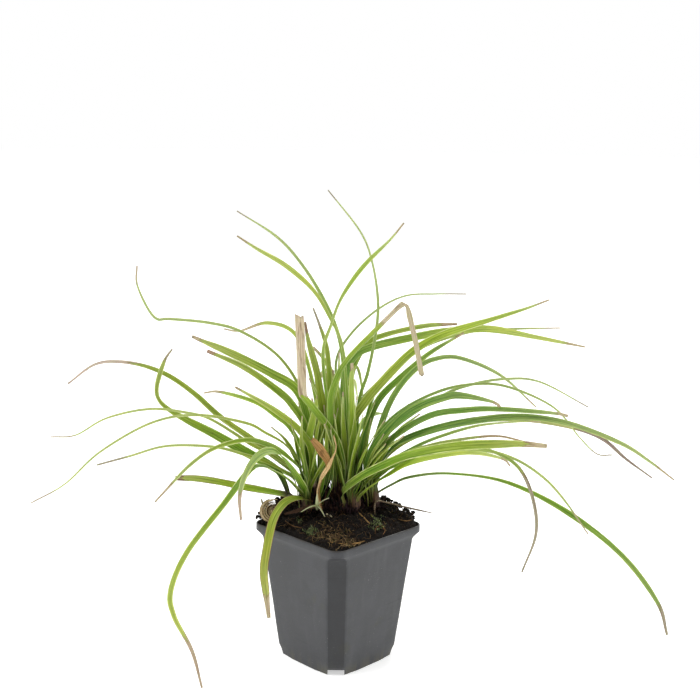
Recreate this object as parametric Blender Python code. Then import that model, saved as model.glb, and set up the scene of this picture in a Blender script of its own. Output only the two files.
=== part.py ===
"""A carex sedge growing in its square nursery pot.

The frame is the pot's own: metres, +Z up, the pot's sides along X and Y, and the origin at the middle
of the pot's base, on the surface that it stands on. Sizes below are in millimetres. The blades that the
photograph shows are written as tracks, points of the 700 x 700 picture from root to tip, and are set in
space from the viewpoint that the pot's corners give.
"""

import math
from typing import NamedTuple

import bmesh
import bpy
from mathutils import Matrix, Vector

MM = 0.001

# Pot
POT_HEIGHT = 100.0
RIM_SIDE = 90.0
RIM_HEIGHT = 5.0
RIM_RADIUS = 9.0
BODY_TOP_SIDE = 89.0
BODY_BASE_SIDE = 67.6
CHAMFER_TOP = 10.3
CHAMFER_BASE = 8.8
CHAMFER_EASE = 1.5
TAB_START = 91.0
CORNER_STEPS = 6
WALL = 1.2
FLOOR = 1.5
RIM_EASE = 0.5
NOTCH_HEIGHT = 4.4
NOTCH_WIDTH = 12.0
NOTCH_DEPTH = 9.0
CLEARANCE = 0.3

# Soil
SOIL_EDGE = 101.0
SOIL_LIP = 0.6
SOIL_CLEARANCE = 0.4
SOIL_FLAT_POINTS = 5
SOIL_MOUND = 9.5
SOIL_MOUND_SPREAD = 25.0
SOIL_BACK_RISE = 3.0
SOIL_BACK_SPAN = 18.0
SOIL_LUMP = 0.9
SOIL_RINGS = (1.0, 0.93, 0.84, 0.74, 0.63, 0.51, 0.38, 0.24, 0.1)
HOLE_DEPTH = 8.0
CROWN = (2.0, 15.0)

# Heaps and dips in the peat: across, away, height, and how wide they spread
SOIL_HEAPS = ((-42.0, 13.0, 5.0, 70.0), (-51.0, 0.0, -5.5, 60.0), (50.0, 0.0, 3.6, 60.0),
              (40.0, 20.0, 3.4, 160.0))

# Viewpoint of the photograph: distances in millimetres, lengths in the picture in its own points
VIEW_DISTANCE = 800.0
VIEW_HEIGHT = 376.0
VIEW_FOCAL = 1143.0
VIEW_MIDDLE = 350.0
VIEW_PITCH = math.radians(10.43)
VIEW_ROLL = math.radians(0.79)
VIEW_YAW = math.radians(0.50)
POT_TURN = math.radians(44.62)

# Blades
THICKNESS = 0.75
FOLD = 0.34
STEP_LENGTH = 30.0
STEP_SHORTEST = 7.0
DEPTH_DRIFT = 1.25
TIP_WIDTH = 0.8

# Sheath bases, one for each leafy shoot
SHEATH_TOP = 120.0
SHEATH_TAPER = 9.0
SHEATH_SIDES = 10
BLADE_ROOT_DEPTH = 4.0

# Shoots: name, place across and away from the pot's axis as the photograph sees it, half widths
TUFTS = {
    "tuft_centre": (2.0, 15.0, 6.4, 4.6),
    "tuft_left": (-25.0, 15.0, 4.6, 5.6),
    "tuft_front_left": (-23.0, 1.0, 4.8, 4.8),
    "tuft_front_right": (12.0, 0.0, 6.0, 4.6),
    "tuft_right": (27.0, 11.0, 4.8, 5.6),
    "tuft_back_right": (20.0, 28.0, 5.0, 4.8),
    "tuft_back": (2.0, 33.0, 6.0, 4.8),
    "tuft_back_left": (-16.0, 30.0, 5.0, 4.8),
}

GREEN = (0.16, 0.27, 0.06)
DRY = (0.42, 0.30, 0.15)


class Blade(NamedTuple):
    """One blade: its shoot, its track from root to tip, how far away its tip is, and its width."""

    tuft: str
    track: tuple
    away: float
    width: float
    lean: float = 45.0
    tip: str = "point"
    drift: float = 1.25


# Blades that the photograph shows, shoot by shoot
BLADES = {
    # Left side
    "left_arch": Blade("tuft_left", ((296, 476), (254, 442), (221, 418), (192, 392), (163, 373), (130, 363),
                                     (97, 364), (68, 384)), 40, 6.2),
    "left_folded": Blade("tuft_left", ((276, 471), (248, 454), (215, 435), (190, 422), (168, 409),
                                       (158, 398), (157, 384), (164, 361), (172, 349)), 4, 7.6, 55),
    "left_high": Blade("tuft_left", ((309, 450), (306, 415), (296, 389), (270, 373), (230, 353),
                                     (193, 337)), 62, 7.8, 50, "cut"),
    "left_torn": Blade("tuft_left", ((307, 462), (305, 428), (292, 405), (278, 391), (245, 368),
                                     (207, 351)), 34, 6.4, 45),
    "left_lime": Blade("tuft_left", ((312, 455), (301, 432), (280, 414), (260, 401), (235, 387)), 12, 6.0),
    "left_upright": Blade("tuft_left", ((307, 470), (308, 445), (313, 420), (319, 395)), 22, 6.4, 20),
    "left_wire_high": Blade("tuft_left", ((301, 478), (276, 458), (250, 444), (232, 432), (212, 420),
                                          (194, 414), (151, 409), (107, 418), (76, 435), (51, 437)),
                            -22, 2.2),
    "left_stump": Blade("tuft_left", ((290, 496), (245, 487), (201, 479), (176, 478)), -14, 6.6, 60, "cut"),
    "left_wire_low": Blade("tuft_front_left", ((303, 470), (286, 446), (265, 433), (245, 423), (196, 415),
                                               (151, 423), (100, 452), (65, 484), (31, 503)), -88, 2.2),
    "left_brown_tip": Blade("tuft_front_left", ((292, 478), (268, 463), (245, 455), (214, 447), (167, 446),
                                                (130, 456), (97, 465)), -60, 2.4),
    "left_droop": Blade("tuft_front_left", ((304, 476), (286, 456), (268, 445), (246, 440), (215, 448),
                                            (190, 465), (165, 491), (155, 502)), -72, 3.6),
    "left_hook": Blade("tuft_front_left", ((304, 491), (290, 468), (277, 453), (262, 454), (248, 470),
                                           (240, 495), (241, 520)), -80, 6.4, 50),
    "left_trailer": Blade("tuft_front_left", ((303, 496), (290, 482), (276, 472), (262, 467), (250, 471),
                                              (225, 503), (188, 551), (171, 590), (174, 616), (192, 651),
                                              (202, 688)), -104, 4.4),
    "over_rim": Blade("tuft_front_left", ((307, 500), (296, 499), (284, 504), (273, 521), (266, 554),
                                          (264, 573), (266, 592), (269, 618)), -46, 7.0, 40,
                      "point", 0.6),
    # Middle
    "top_left_thin": Blade("tuft_centre", ((346, 470), (345, 410), (344, 372), (339, 337), (325, 302),
                                           (303, 266), (277, 237), (237, 211)), 66, 3.0),
    "top_left_lime": Blade("tuft_centre", ((349, 470), (347, 400), (342, 346), (330, 318), (313, 290),
                                           (286, 266), (257, 249), (237, 236)), 30, 3.8),
    "top_wire": Blade("tuft_centre", ((354, 460), (359, 402), (368, 372), (376, 332), (378, 300),
                                      (372, 261), (360, 231), (328, 190)), 74, 1.8),
    "top_right_lime": Blade("tuft_centre", ((338, 470), (329, 410), (323, 355), (331, 325), (342, 297),
                                            (363, 267), (390, 240), (404, 223)), 16, 4.0),
    "snapped_left": Blade("tuft_centre", ((341, 468), (336, 444), (328, 429), (311, 408), (302, 397),
                                          (300, 380), (300, 340), (299, 316)), -20, 7.6, 10, "cut"),
    "snapped_right": Blade("tuft_centre", ((336, 460), (331, 408), (337, 380), (350, 358), (376, 331),
                                           (399, 308), (404, 305), (407, 310), (415, 342), (421, 375)),
                           -40, 6.2, 35, "cut"),
    "middle_olive": Blade("tuft_centre", ((331, 460), (321, 400), (316, 370), (308, 340), (305, 322)), 2,
                          6.6, 15),
    "middle_slim": Blade("tuft_centre", ((334, 455), (328, 412), (329, 385), (327, 350), (319, 324),
                                         (313, 308)), 26, 5.0, 15),
    "middle_short": Blade("tuft_centre", ((342, 450), (337, 400), (331, 372), (323, 358), (313, 347)), 44,
                          5.2, 15),
    "middle_wide": Blade("tuft_centre", ((352, 462), (353, 430), (352, 392), (352, 363)), 4, 5.4, 15),
    # Right side
    "right_long_high": Blade("tuft_back", ((352, 465), (346, 420), (345, 380), (354, 357), (372, 347),
                                                 (410, 338), (450, 331), (490, 329), (535, 337), (585, 347)),
                             92, 6.0),
    "right_torn_high": Blade("tuft_back", ((358, 460), (350, 410), (352, 372), (366, 345), (385, 335),
                                                 (425, 326), (457, 324)), 110, 4.2),
    "right_wire_high": Blade("tuft_back", ((356, 450), (341, 400), (336, 362), (350, 335), (377, 310),
                                                 (405, 296), (435, 294), (466, 294)), 124, 1.8),
    "right_bright": Blade("tuft_centre", ((357, 470), (352, 428), (366, 402), (390, 374), (415, 350),
                                         (445, 334), (490, 320), (525, 309), (549, 300)), 52, 7.0, 45),
    "right_steep": Blade("tuft_right", ((362, 476), (361, 459), (366, 433), (378, 401), (400, 378),
                                        (430, 353), (464, 333)), 56, 4.8),
    "right_wire_long": Blade("tuft_back_right", ((362, 465), (366, 420), (385, 375), (421, 348),
                                                 (470, 332), (515, 329), (560, 328)), 140, 1.8),
    "right_arch": Blade("tuft_right", ((370, 475), (373, 458), (379, 433), (388, 407), (400, 386),
                                       (417, 368), (435, 359), (460, 358), (500, 375), (536, 407)),
                        42, 4.0),
    "right_arch_wire": Blade("tuft_right", ((366, 470), (375, 440), (396, 415), (430, 395), (465, 385),
                                            (505, 386), (553, 407), (580, 438), (597, 454), (612, 455)),
                             6, 2.2),
    "right_arch_back": Blade("tuft_back_right", ((372, 462), (392, 430), (440, 397), (470, 385), (505, 379),
                                                 (540, 382), (588, 407)), 96, 2.0),
    "right_dark": Blade("tuft_right", ((366, 478), (376, 446), (407, 413), (445, 397), (465, 396),
                                       (493, 402), (500, 407)), -26, 7.2),
    "right_straight": Blade("tuft_right", ((370, 480), (385, 447), (409, 427), (435, 414), (465, 410),
                                           (495, 409), (552, 413), (568, 416)), -44, 5.0),
    "right_long_low": Blade("tuft_right", ((374, 480), (392, 450), (411, 438), (457, 424), (515, 417),
                                           (566, 423), (620, 443), (649, 461), (674, 480)), -78, 5.4),
    "right_dead": Blade("tuft_back_right", ((380, 465), (410, 440), (460, 424), (515, 420), (566, 426),
                                            (601, 438), (626, 459), (652, 478)), 60, 2.4),
    "right_lime_wide": Blade("tuft_front_right", ((343, 494), (360, 478), (385, 465), (410, 455),
                                                  (457, 446), (515, 444), (547, 446)), -104, 7.4),
    "right_lime_short": Blade("tuft_front_right", ((360, 497), (372, 486), (391, 474), (410, 463),
                                                   (448, 455), (476, 453), (503, 459), (510, 466)),
                              -112, 4.6),
    "right_trailer": Blade("tuft_right", ((377, 494), (391, 486), (410, 478), (448, 474), (505, 482),
                                          (563, 510), (620, 554), (657, 602), (667, 635)), -26, 4.8),
    "right_hanging": Blade("tuft_front_right", ((350, 490), (385, 470), (430, 457), (470, 450),
                                                (494, 452), (519, 468), (533, 499), (536, 534),
                                                (522, 572)), -88, 2.0),
    "right_wire_low": Blade("tuft_front_right", ((362, 486), (400, 464), (440, 454), (480, 450),
                                                 (515, 459), (544, 478), (565, 501), (588, 534)),
                            -62, 2.2),
    "right_wire_mid": Blade("tuft_back_right", ((384, 466), (410, 450), (436, 438), (476, 426), (515, 422),
                                                (541, 422)), 36, 2.2),
    "right_brown": Blade("tuft_front_right", ((356, 484), (390, 462), (425, 447), (457, 440),
                                              (496, 436), (526, 442)), -84, 2.6),
    # Far side
    "back_curl": Blade("tuft_back_left", ((318, 455), (305, 400), (280, 358), (242, 332), (210, 323),
                                          (170, 319), (157, 319), (147, 307), (137, 284), (137, 266)),
                       96, 2.2),
    "back_twist": Blade("tuft_back_left", ((322, 450), (312, 380), (296, 335), (268, 323), (240, 331),
                                           (224, 329)), 112, 2.6),
    "back_thin": Blade("tuft_back_left", ((314, 470), (305, 453), (290, 428), (277, 417), (255, 402),
                                          (220, 392), (204, 393)), 72, 3.2),
}

# Far-side blades hidden by a nearer one: which one, share of its track, shoot, tip's depth, width
ECHO_LEAN = 30.0
ECHOES = {
    "far_left_a": ("left_arch", 0.92, "tuft_back_left", 132, 4.6),
    "far_left_b": ("left_folded", 0.62, "tuft_back_left", 104, 5.2),
    "far_left_c": ("left_high", 0.98, "tuft_back_left", 150, 5.4),
    "far_left_d": ("top_left_lime", 0.66, "tuft_back", 120, 3.4),
    "far_back_a": ("snapped_left", 1.0, "tuft_back", 150, 5.4),
    "far_back_b": ("middle_olive", 1.0, "tuft_back", 96, 5.4),
    "far_back_c": ("middle_slim", 1.0, "tuft_back", 170, 4.6),
    "far_back_d": ("snapped_right", 0.62, "tuft_back", 172, 5.0),
    "far_back_e": ("top_right_lime", 0.74, "tuft_back", 140, 3.4),
    "far_right_a": ("right_bright", 0.92, "tuft_back", 150, 5.4),
    "far_right_b": ("right_dark", 0.98, "tuft_back_right", 132, 5.6),
    "far_right_c": ("right_straight", 0.86, "tuft_back_right", 112, 4.4),
    "far_right_d": ("right_lime_wide", 0.9, "tuft_back_right", 78, 5.6),
}

# Blades that lean straight away behind the middle: width, highest point, reach and swing in degrees
FAN_LEAN = 25.0
FAN_SHAPE = ((0.0, 0.0), (0.06, 0.34), (0.2, 0.72), (0.42, 1.0), (0.72, 0.9), (1.0, 0.52))
AWAY_FAN = ((5.6, 198.0, 96.0, -14.0), (4.8, 186.0, 134.0, 6.0), (5.4, 204.0, 70.0, 15.0),
            (4.2, 174.0, 158.0, -6.0), (4.6, 160.0, 116.0, 24.0), (4.4, 164.0, 122.0, -27.0))

# Dead pieces round the crown, each from its foot: across, away, then the tracks
DEAD_FOOT = (-12.0, -5.0)
DEAD_FOOT_HALF = (3.2, 2.6)
DEAD_FOOT_SIDES = 8
DEAD_FOOT_RISE = 5.0
DEAD_FOOT_TAPER = 3.0
DEAD_LEAVES = {
    "twisted": (((318, 490), (319, 476), (326, 463), (320, 452), (312, 440)), -8.0, 5.4),
    "curled": (((318, 492), (322, 474), (332, 462), (336, 448), (333, 437)), -12.0, 2.2),
    "brown_base": (((312, 507), (300, 510), (285, 514)), -17.0, 3.2),
}
SEEDLING_FOOT = (-15.0, -12.5)
SEEDLING_HEART = (317.0, 506.0)
SEEDLING_TIPS = ((317, 494), (329, 498), (301, 512), (325, 517))
SEEDLING_STEM = 1.6
DEAD_STEM_FOOT = (27.0, -1.0)
DEAD_STEM_TRACK = ((378, 501), (385, 502), (405, 507), (432, 513))
DEAD_STEM_THICKNESS = 1.3
STRAW_FOOT = (-45.0, 1.0)
STRAW_MIDDLE = (-51.5, -1.0, 107.0)
STRAW_RADIUS = 4.3
STRAW_STRANDS = 4
STRAW_PITCH = 1.7
STRAW_THICKNESS = 1.95
STRAW_FOOT_HALF = (2.2, 3.4)
STRAW_FOOT_SIDES = 8
STRAW_STEPS = 8
STRAW_FIRST_ANGLE = 20.0
STRAW_TURN = 40.0
STRAW_STRETCH = 1.15
PEG_RADIUS = 1.5
PEG_SIDES = 6


def clear_scene():
    for item in list(bpy.data.objects):
        bpy.data.objects.remove(item)


def from_view(across, away, up):
    """A place given across and away as the photograph sees it, in the pot's frame."""
    x = across * math.cos(POT_TURN) + away * math.sin(POT_TURN)
    y = -across * math.sin(POT_TURN) + away * math.cos(POT_TURN)
    return Vector((x, y, up))


def seen(px, py, away):
    """The point of the picture (px, py) that lies `away` beyond the pot's axis, in the pot's frame."""
    du = px - VIEW_MIDDLE
    dv = py - VIEW_MIDDLE
    u = du * math.cos(VIEW_ROLL) + dv * math.sin(VIEW_ROLL)
    v = -du * math.sin(VIEW_ROLL) + dv * math.cos(VIEW_ROLL)
    right = u / VIEW_FOCAL
    up = -v / VIEW_FOCAL
    ahead = math.cos(VIEW_PITCH) + math.sin(VIEW_PITCH) * up
    rise = -math.sin(VIEW_PITCH) + math.cos(VIEW_PITCH) * up
    ray_x = right * math.cos(VIEW_YAW) + ahead * math.sin(VIEW_YAW)
    ray_y = -right * math.sin(VIEW_YAW) + ahead * math.cos(VIEW_YAW)
    reach = (VIEW_DISTANCE + away) / ray_y
    return from_view(ray_x * reach, away, VIEW_HEIGHT + rise * reach)


def picture_point(place):
    """Where the photograph shows a point of the pot's frame."""
    x = place.x * math.cos(POT_TURN) - place.y * math.sin(POT_TURN)
    y = place.x * math.sin(POT_TURN) + place.y * math.cos(POT_TURN) + VIEW_DISTANCE
    z = place.z - VIEW_HEIGHT
    turned_x = x * math.cos(VIEW_YAW) - y * math.sin(VIEW_YAW)
    turned_y = x * math.sin(VIEW_YAW) + y * math.cos(VIEW_YAW)
    ahead = turned_y * math.cos(VIEW_PITCH) - z * math.sin(VIEW_PITCH)
    up = turned_y * math.sin(VIEW_PITCH) + z * math.cos(VIEW_PITCH)
    u = turned_x / ahead * VIEW_FOCAL
    v = -up / ahead * VIEW_FOCAL
    return (VIEW_MIDDLE + u * math.cos(VIEW_ROLL) - v * math.sin(VIEW_ROLL),
            VIEW_MIDDLE + u * math.sin(VIEW_ROLL) + v * math.cos(VIEW_ROLL))


def to_viewer(place):
    eye = from_view(0.0, -VIEW_DISTANCE, VIEW_HEIGHT)
    return (eye - place).normalized()


def smooth_curve(points, step):
    """Points of a Catmull-Rom curve through `points`, about `step` apart, with every given point kept."""
    line = [points[0]]
    padded = [points[0] * 2 - points[1]] + list(points) + [points[-1] * 2 - points[-2]]
    for before, start, end, after in zip(padded, padded[1:], padded[2:], padded[3:]):
        count = max(1, round((end - start).length / step))
        for k in range(1, count + 1):
            t = k / count
            pull = (end - before) * t + (before * 2 - start * 5 + end * 4 - after) * t ** 2
            pull += (start * 3 - before - end * 3 + after) * t ** 3
            line.append(start + pull * 0.5)
    return line


def shares(points):
    """How far along the line each point lies, from 0 to 1."""
    lengths = [0.0]
    for start, end in zip(points, points[1:]):
        lengths.append(lengths[-1] + (end - start).length)
    return [length / lengths[-1] for length in lengths]


def thinned(points, shortest):
    """The line without points closer than `shortest` to the one kept before; both ends stay."""
    kept = [points[0]]
    for point in points[1:-1]:
        if (point - kept[-1]).length >= shortest and (point - points[-1]).length >= shortest:
            kept.append(point)
    return kept + [points[-1]]


def tuft_foot(name):
    across, away, half_wide, half_deep = TUFTS[name]
    return from_view(across, away, SHEATH_TOP - BLADE_ROOT_DEPTH), away


def blade_line(foot, foot_away, track, tip_away, step=STEP_LENGTH, drift=DEPTH_DRIFT):
    """The middle line of a blade: from its foot along its track, drifting in depth towards its tip."""
    flat = [Vector(picture_point(foot))] + [Vector(point) for point in track]
    along = shares(flat)
    places = [foot]
    for (px, py), share in zip(track, along[1:]):
        places.append(seen(px, py, foot_away + (tip_away - foot_away) * share ** drift))
    return thinned(smooth_curve(places, step), STEP_SHORTEST)


def track_part(track, share):
    """The first part of a track, cut at a share of its length."""
    points = [Vector(point) for point in track]
    along = shares(points)
    kept = []
    for index, point in enumerate(points):
        if along[index] <= share:
            kept.append(tuple(point))
            continue
        span = (share - along[index - 1]) / (along[index] - along[index - 1])
        kept.append(tuple(points[index - 1].lerp(point, span)))
        break
    return tuple(kept)


def width_share(share, tip):
    """Width of a blade along its length, from 0 at the root to 1 at the tip."""
    root = min(1.0, 0.72 + 1.3 * share)
    if tip == "cut":
        return root * (1.0 - 0.12 * share)
    if share < 0.42:
        return root
    return root * (1.0 - 0.86 * ((share - 0.42) / 0.58) ** 1.7)


def directions(points):
    """Tangent at each point of a line."""
    result = []
    for index in range(len(points)):
        before = points[max(index - 1, 0)]
        after = points[min(index + 1, len(points) - 1)]
        result.append((after - before).normalized())
    return result


def blade_frames(points, lean):
    """Side and face direction of a blade at each point, the face turning towards the viewer."""
    tangents = directions(points)
    heading = points[-1] - points[0]
    heading.z = 0.0
    side = Vector((0.0, 0.0, 1.0)).cross(heading).normalized()
    sides = []
    for tangent in tangents:
        side = (side - tangent * side.dot(tangent)).normalized()
        sides.append(side.copy())
    middle = len(points) // 2
    trial = Matrix.Rotation(math.radians(lean), 3, tangents[middle]) @ sides[middle]
    other = Matrix.Rotation(math.radians(-lean), 3, tangents[middle]) @ sides[middle]
    view = to_viewer(points[middle])
    turn = lean
    if tangents[middle].cross(trial).dot(view) < tangents[middle].cross(other).dot(view):
        turn = -lean
    frames = []
    for share, tangent, flat_side in zip(shares(points), tangents, sides):
        angle = math.radians(turn) * min(1.0, share * 2.2)
        turned = Matrix.Rotation(angle, 3, tangent) @ flat_side
        frames.append((turned, tangent.cross(turned)))
    return frames


def strip_solid(points, frames, widths, thickness=THICKNESS, fold=FOLD):
    """A closed channelled strip: six points a station, every face split alike above and below."""
    shape = bmesh.new()
    stations = []
    for place, (side, face), width in zip(points, frames, widths):
        lift = face * (fold * width * 0.5)
        edge = side * (width * 0.5)
        above = (place - edge + lift, place, place + edge + lift)
        below = tuple(point - face * thickness for point in above)
        ring = [above[0], above[1], above[2], below[2], below[1], below[0]]
        stations.append([shape.verts.new(point * MM) for point in ring])
    for start, end in zip(stations, stations[1:]):
        for a, b, mirrored in ((0, 1, False), (1, 2, False), (2, 3, False), (3, 4, True), (4, 5, True),
                               (5, 0, False)):
            if mirrored:
                shape.faces.new((start[a], start[b], end[a]))
                shape.faces.new((start[b], end[b], end[a]))
            else:
                shape.faces.new((start[a], start[b], end[b]))
                shape.faces.new((start[a], end[b], end[a]))
    for ring, flip in ((stations[0], True), (stations[-1], False)):
        for corners in ((0, 1, 4, 5), (1, 2, 3, 4)):
            face = [ring[corner] for corner in corners]
            shape.faces.new(face[::-1] if flip else face)
    bmesh.ops.triangulate(shape, faces=[face for face in shape.faces if len(face.verts) > 3])
    bmesh.ops.recalc_face_normals(shape, faces=shape.faces)
    return shape


def blade_solid(points, width, lean, tip):
    frames = blade_frames(points, lean)
    widths = [max(TIP_WIDTH, width * width_share(share, tip)) for share in shares(points)]
    return strip_solid(points, frames, widths)


def tube_solid(points, thickness, sides=4):
    """A closed tube of few sides along a line."""
    shape = bmesh.new()
    tangents = directions(points)
    side = Vector((0.0, 0.0, 1.0)).cross(tangents[0])
    if side.length < 0.2:
        side = Vector((1.0, 0.0, 0.0))
    rings = []
    for place, tangent in zip(points, tangents):
        side = (side - tangent * side.dot(tangent)).normalized()
        other = tangent.cross(side)
        ring = []
        for k in range(sides):
            angle = math.tau * (k + 0.5) / sides
            offset = side * math.cos(angle) + other * math.sin(angle)
            ring.append(shape.verts.new((place + offset * thickness * 0.5) * MM))
        rings.append(ring)
    for start, end in zip(rings, rings[1:]):
        for k in range(sides):
            following = (k + 1) % sides
            shape.faces.new((start[k], start[following], end[following], end[k]))
    shape.faces.new(rings[0][::-1])
    shape.faces.new(rings[-1])
    bmesh.ops.triangulate(shape, faces=shape.faces)
    bmesh.ops.recalc_face_normals(shape, faces=shape.faces)
    return shape


def prism_solid(across, away, half_wide, half_deep, low, high, taper=0.0, sides=SHEATH_SIDES):
    """An upright oval prism, with a tapering top where `taper` is a height."""
    shape = bmesh.new()
    levels = [(low, 1.0), (high, 1.0)]
    if taper:
        levels.append((high + taper, 0.45))
    rings = []
    for height, scale in levels:
        ring = []
        for k in range(sides):
            angle = math.tau * k / sides
            place = from_view(across + half_wide * scale * math.cos(angle),
                              away + half_deep * scale * math.sin(angle), height)
            ring.append(shape.verts.new(place * MM))
        rings.append(ring)
    for start, end in zip(rings, rings[1:]):
        for k in range(sides):
            following = (k + 1) % sides
            shape.faces.new((start[k], start[following], end[following], end[k]))
    shape.faces.new(rings[0][::-1])
    shape.faces.new(rings[-1])
    bmesh.ops.triangulate(shape, faces=shape.faces)
    bmesh.ops.recalc_face_normals(shape, faces=shape.faces)
    return shape


def make_object(name, shape, material=None):
    mesh = bpy.data.meshes.new(name)
    shape.to_mesh(mesh)
    shape.free()
    item = bpy.data.objects.new(name, mesh)
    bpy.context.scene.collection.objects.link(item)
    if material:
        mesh.materials.append(material)
    return item


def make_material(name, colour, roughness):
    material = bpy.data.materials.new(name)
    material.use_nodes = True
    shader = material.node_tree.nodes["Principled BSDF"]
    shader.inputs["Base Color"].default_value = (*colour, 1.0)
    shader.inputs["Roughness"].default_value = roughness
    return material


def combine(item, others, operation):
    """Joins `others` to the object, or cuts them from it, and removes them."""
    group = bpy.data.collections.new(item.name + "_tools")
    bpy.context.scene.collection.children.link(group)
    for other in others:
        bpy.context.scene.collection.objects.unlink(other)
        group.objects.link(other)
    modifier = item.modifiers.new("combine", "BOOLEAN")
    modifier.operation = operation
    modifier.operand_type = "COLLECTION"
    modifier.collection = group
    modifier.solver = "EXACT"
    bpy.context.view_layer.update()
    evaluated = item.evaluated_get(bpy.context.evaluated_depsgraph_get())
    result = bpy.data.meshes.new_from_object(evaluated)
    item.modifiers.remove(modifier)
    materials = [slot.material for slot in item.material_slots]
    item.data = result
    result.materials.clear()
    for material in materials[:1]:
        result.materials.append(material)
    result.polygons.foreach_set("material_index", [0] * len(result.polygons))
    for other in list(group.objects):
        bpy.data.objects.remove(other)
    bpy.data.collections.remove(group)
    keep_largest_shell(item)


def keep_largest_shell(item):
    """Drops loose scraps, and the inner shells that would be sealed hollows."""
    shape = bmesh.new()
    shape.from_mesh(item.data)
    bmesh.ops.triangulate(shape, faces=shape.faces)
    unseen = set(shape.verts)
    shells = []
    while unseen:
        front = [unseen.pop()]
        shell = set(front)
        while front:
            for edge in front.pop().link_edges:
                for vert in edge.verts:
                    if vert in unseen:
                        unseen.discard(vert)
                        shell.add(vert)
                        front.append(vert)
        shells.append(shell)

    def spread(shell):
        return sum(max(v.co[k] for v in shell) - min(v.co[k] for v in shell) for k in range(3))

    shells.sort(key=spread)
    spare = [vert for shell in shells[:-1] for vert in shell]
    bmesh.ops.delete(shape, geom=spare, context="VERTS")
    shape.to_mesh(item.data)
    shape.free()


def rounded_square(half, radius, flat_points=0):
    """Corner arcs of a rounded square, with points along its flats where they are asked for."""
    corner = []
    for k in range(CORNER_STEPS + 1):
        angle = math.pi / 2 * k / CORNER_STEPS
        corner.append(Vector((half - radius + radius * math.cos(angle),
                              half - radius + radius * math.sin(angle))))
    return four_corners(corner, flat_points)


def chamfered_square(half, leg, flat_points=0):
    """A square whose corners are cut off by flat strips, `leg` along each side, with eased edges."""
    first = Vector((half, half - leg))
    second = Vector((half - leg, half))
    along = (second - first).normalized()
    corner = [first - Vector((0.0, CHAMFER_EASE)), first + Vector((-0.18, -0.07)) * CHAMFER_EASE,
              first + along * CHAMFER_EASE, (first + second) / 2, second - along * CHAMFER_EASE,
              second + Vector((-0.07, -0.18)) * CHAMFER_EASE, second - Vector((CHAMFER_EASE, 0.0))]
    return four_corners(corner, flat_points)


def four_corners(corner, flat_points):
    """The outline of a square that has the given corner four times over."""
    outline = []
    for quarter in range(4):
        turn = Matrix.Rotation(quarter * math.pi / 2, 2)
        outline.extend(turn @ point for point in corner)
        end = turn @ corner[-1]
        following = Matrix.Rotation((quarter + 1) * math.pi / 2, 2) @ corner[0]
        for k in range(1, flat_points + 1):
            outline.append(end.lerp(following, k / (flat_points + 1)))
    return outline


def loft(levels):
    """A closed skin through rings of equal length; each level is a list of points."""
    shape = bmesh.new()
    rings = [[shape.verts.new(point * MM) for point in level] for level in levels]
    for start, end in zip(rings, rings[1:]):
        for k in range(len(start)):
            following = (k + 1) % len(start)
            shape.faces.new((start[k], start[following], end[following], end[k]))
    shape.faces.new(rings[0][::-1])
    shape.faces.new(rings[-1])
    bmesh.ops.triangulate(shape, faces=shape.faces)
    bmesh.ops.recalc_face_normals(shape, faces=shape.faces)
    return shape


def body_half(height):
    """Half the outer side of the pot's body at a height."""
    return (BODY_BASE_SIDE + (BODY_TOP_SIDE - BODY_BASE_SIDE) * height / POT_HEIGHT) / 2


def body_ring(height, inset=0.0, flat_points=0):
    """Outline of the pot's body at a height, moved inwards by `inset`."""
    leg = CHAMFER_BASE + (CHAMFER_TOP - CHAMFER_BASE) * height / POT_HEIGHT
    leg -= (2.0 - math.sqrt(2)) * inset
    outline = chamfered_square(body_half(height) - inset, leg, flat_points)
    return [Vector((point.x, point.y, height)) for point in outline]


def rim_ring(height, inset=0.0, flat_points=0):
    """Outline of the pot's rim at a height, moved inwards by `inset`."""
    outline = rounded_square(RIM_SIDE / 2 - inset, RIM_RADIUS - inset, flat_points)
    return [Vector((point.x, point.y, height)) for point in outline]


def build_pot(material):
    levels = [
        body_ring(0.0),
        body_ring(TAB_START),
        rim_ring(POT_HEIGHT - RIM_HEIGHT),
        rim_ring(POT_HEIGHT - RIM_EASE),
        rim_ring(POT_HEIGHT, RIM_EASE),
        rim_ring(POT_HEIGHT, WALL),
        rim_ring(POT_HEIGHT - RIM_HEIGHT, WALL),
        body_ring(TAB_START, WALL),
        body_ring(FLOOR, WALL),
    ]
    pot = make_object("pot", loft(levels), material)
    corner = body_half(0.0) * math.sqrt(2) - CHAMFER_BASE / math.sqrt(2)
    notches = []
    for quarter in range(4):
        shape = bmesh.new()
        bmesh.ops.create_cube(shape, size=1.0)
        size = Matrix.Diagonal((NOTCH_DEPTH * MM, NOTCH_WIDTH * MM, 2 * NOTCH_HEIGHT * MM, 1.0))
        out = Matrix.Translation((corner * MM, 0.0, 0.0))
        turn = Matrix.Rotation(math.pi / 4 + quarter * math.pi / 2, 4, "Z")
        bmesh.ops.transform(shape, matrix=turn @ out @ size, verts=shape.verts)
        notches.append(make_object("notch", shape))
    combine(pot, notches, "DIFFERENCE")
    return pot


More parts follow.
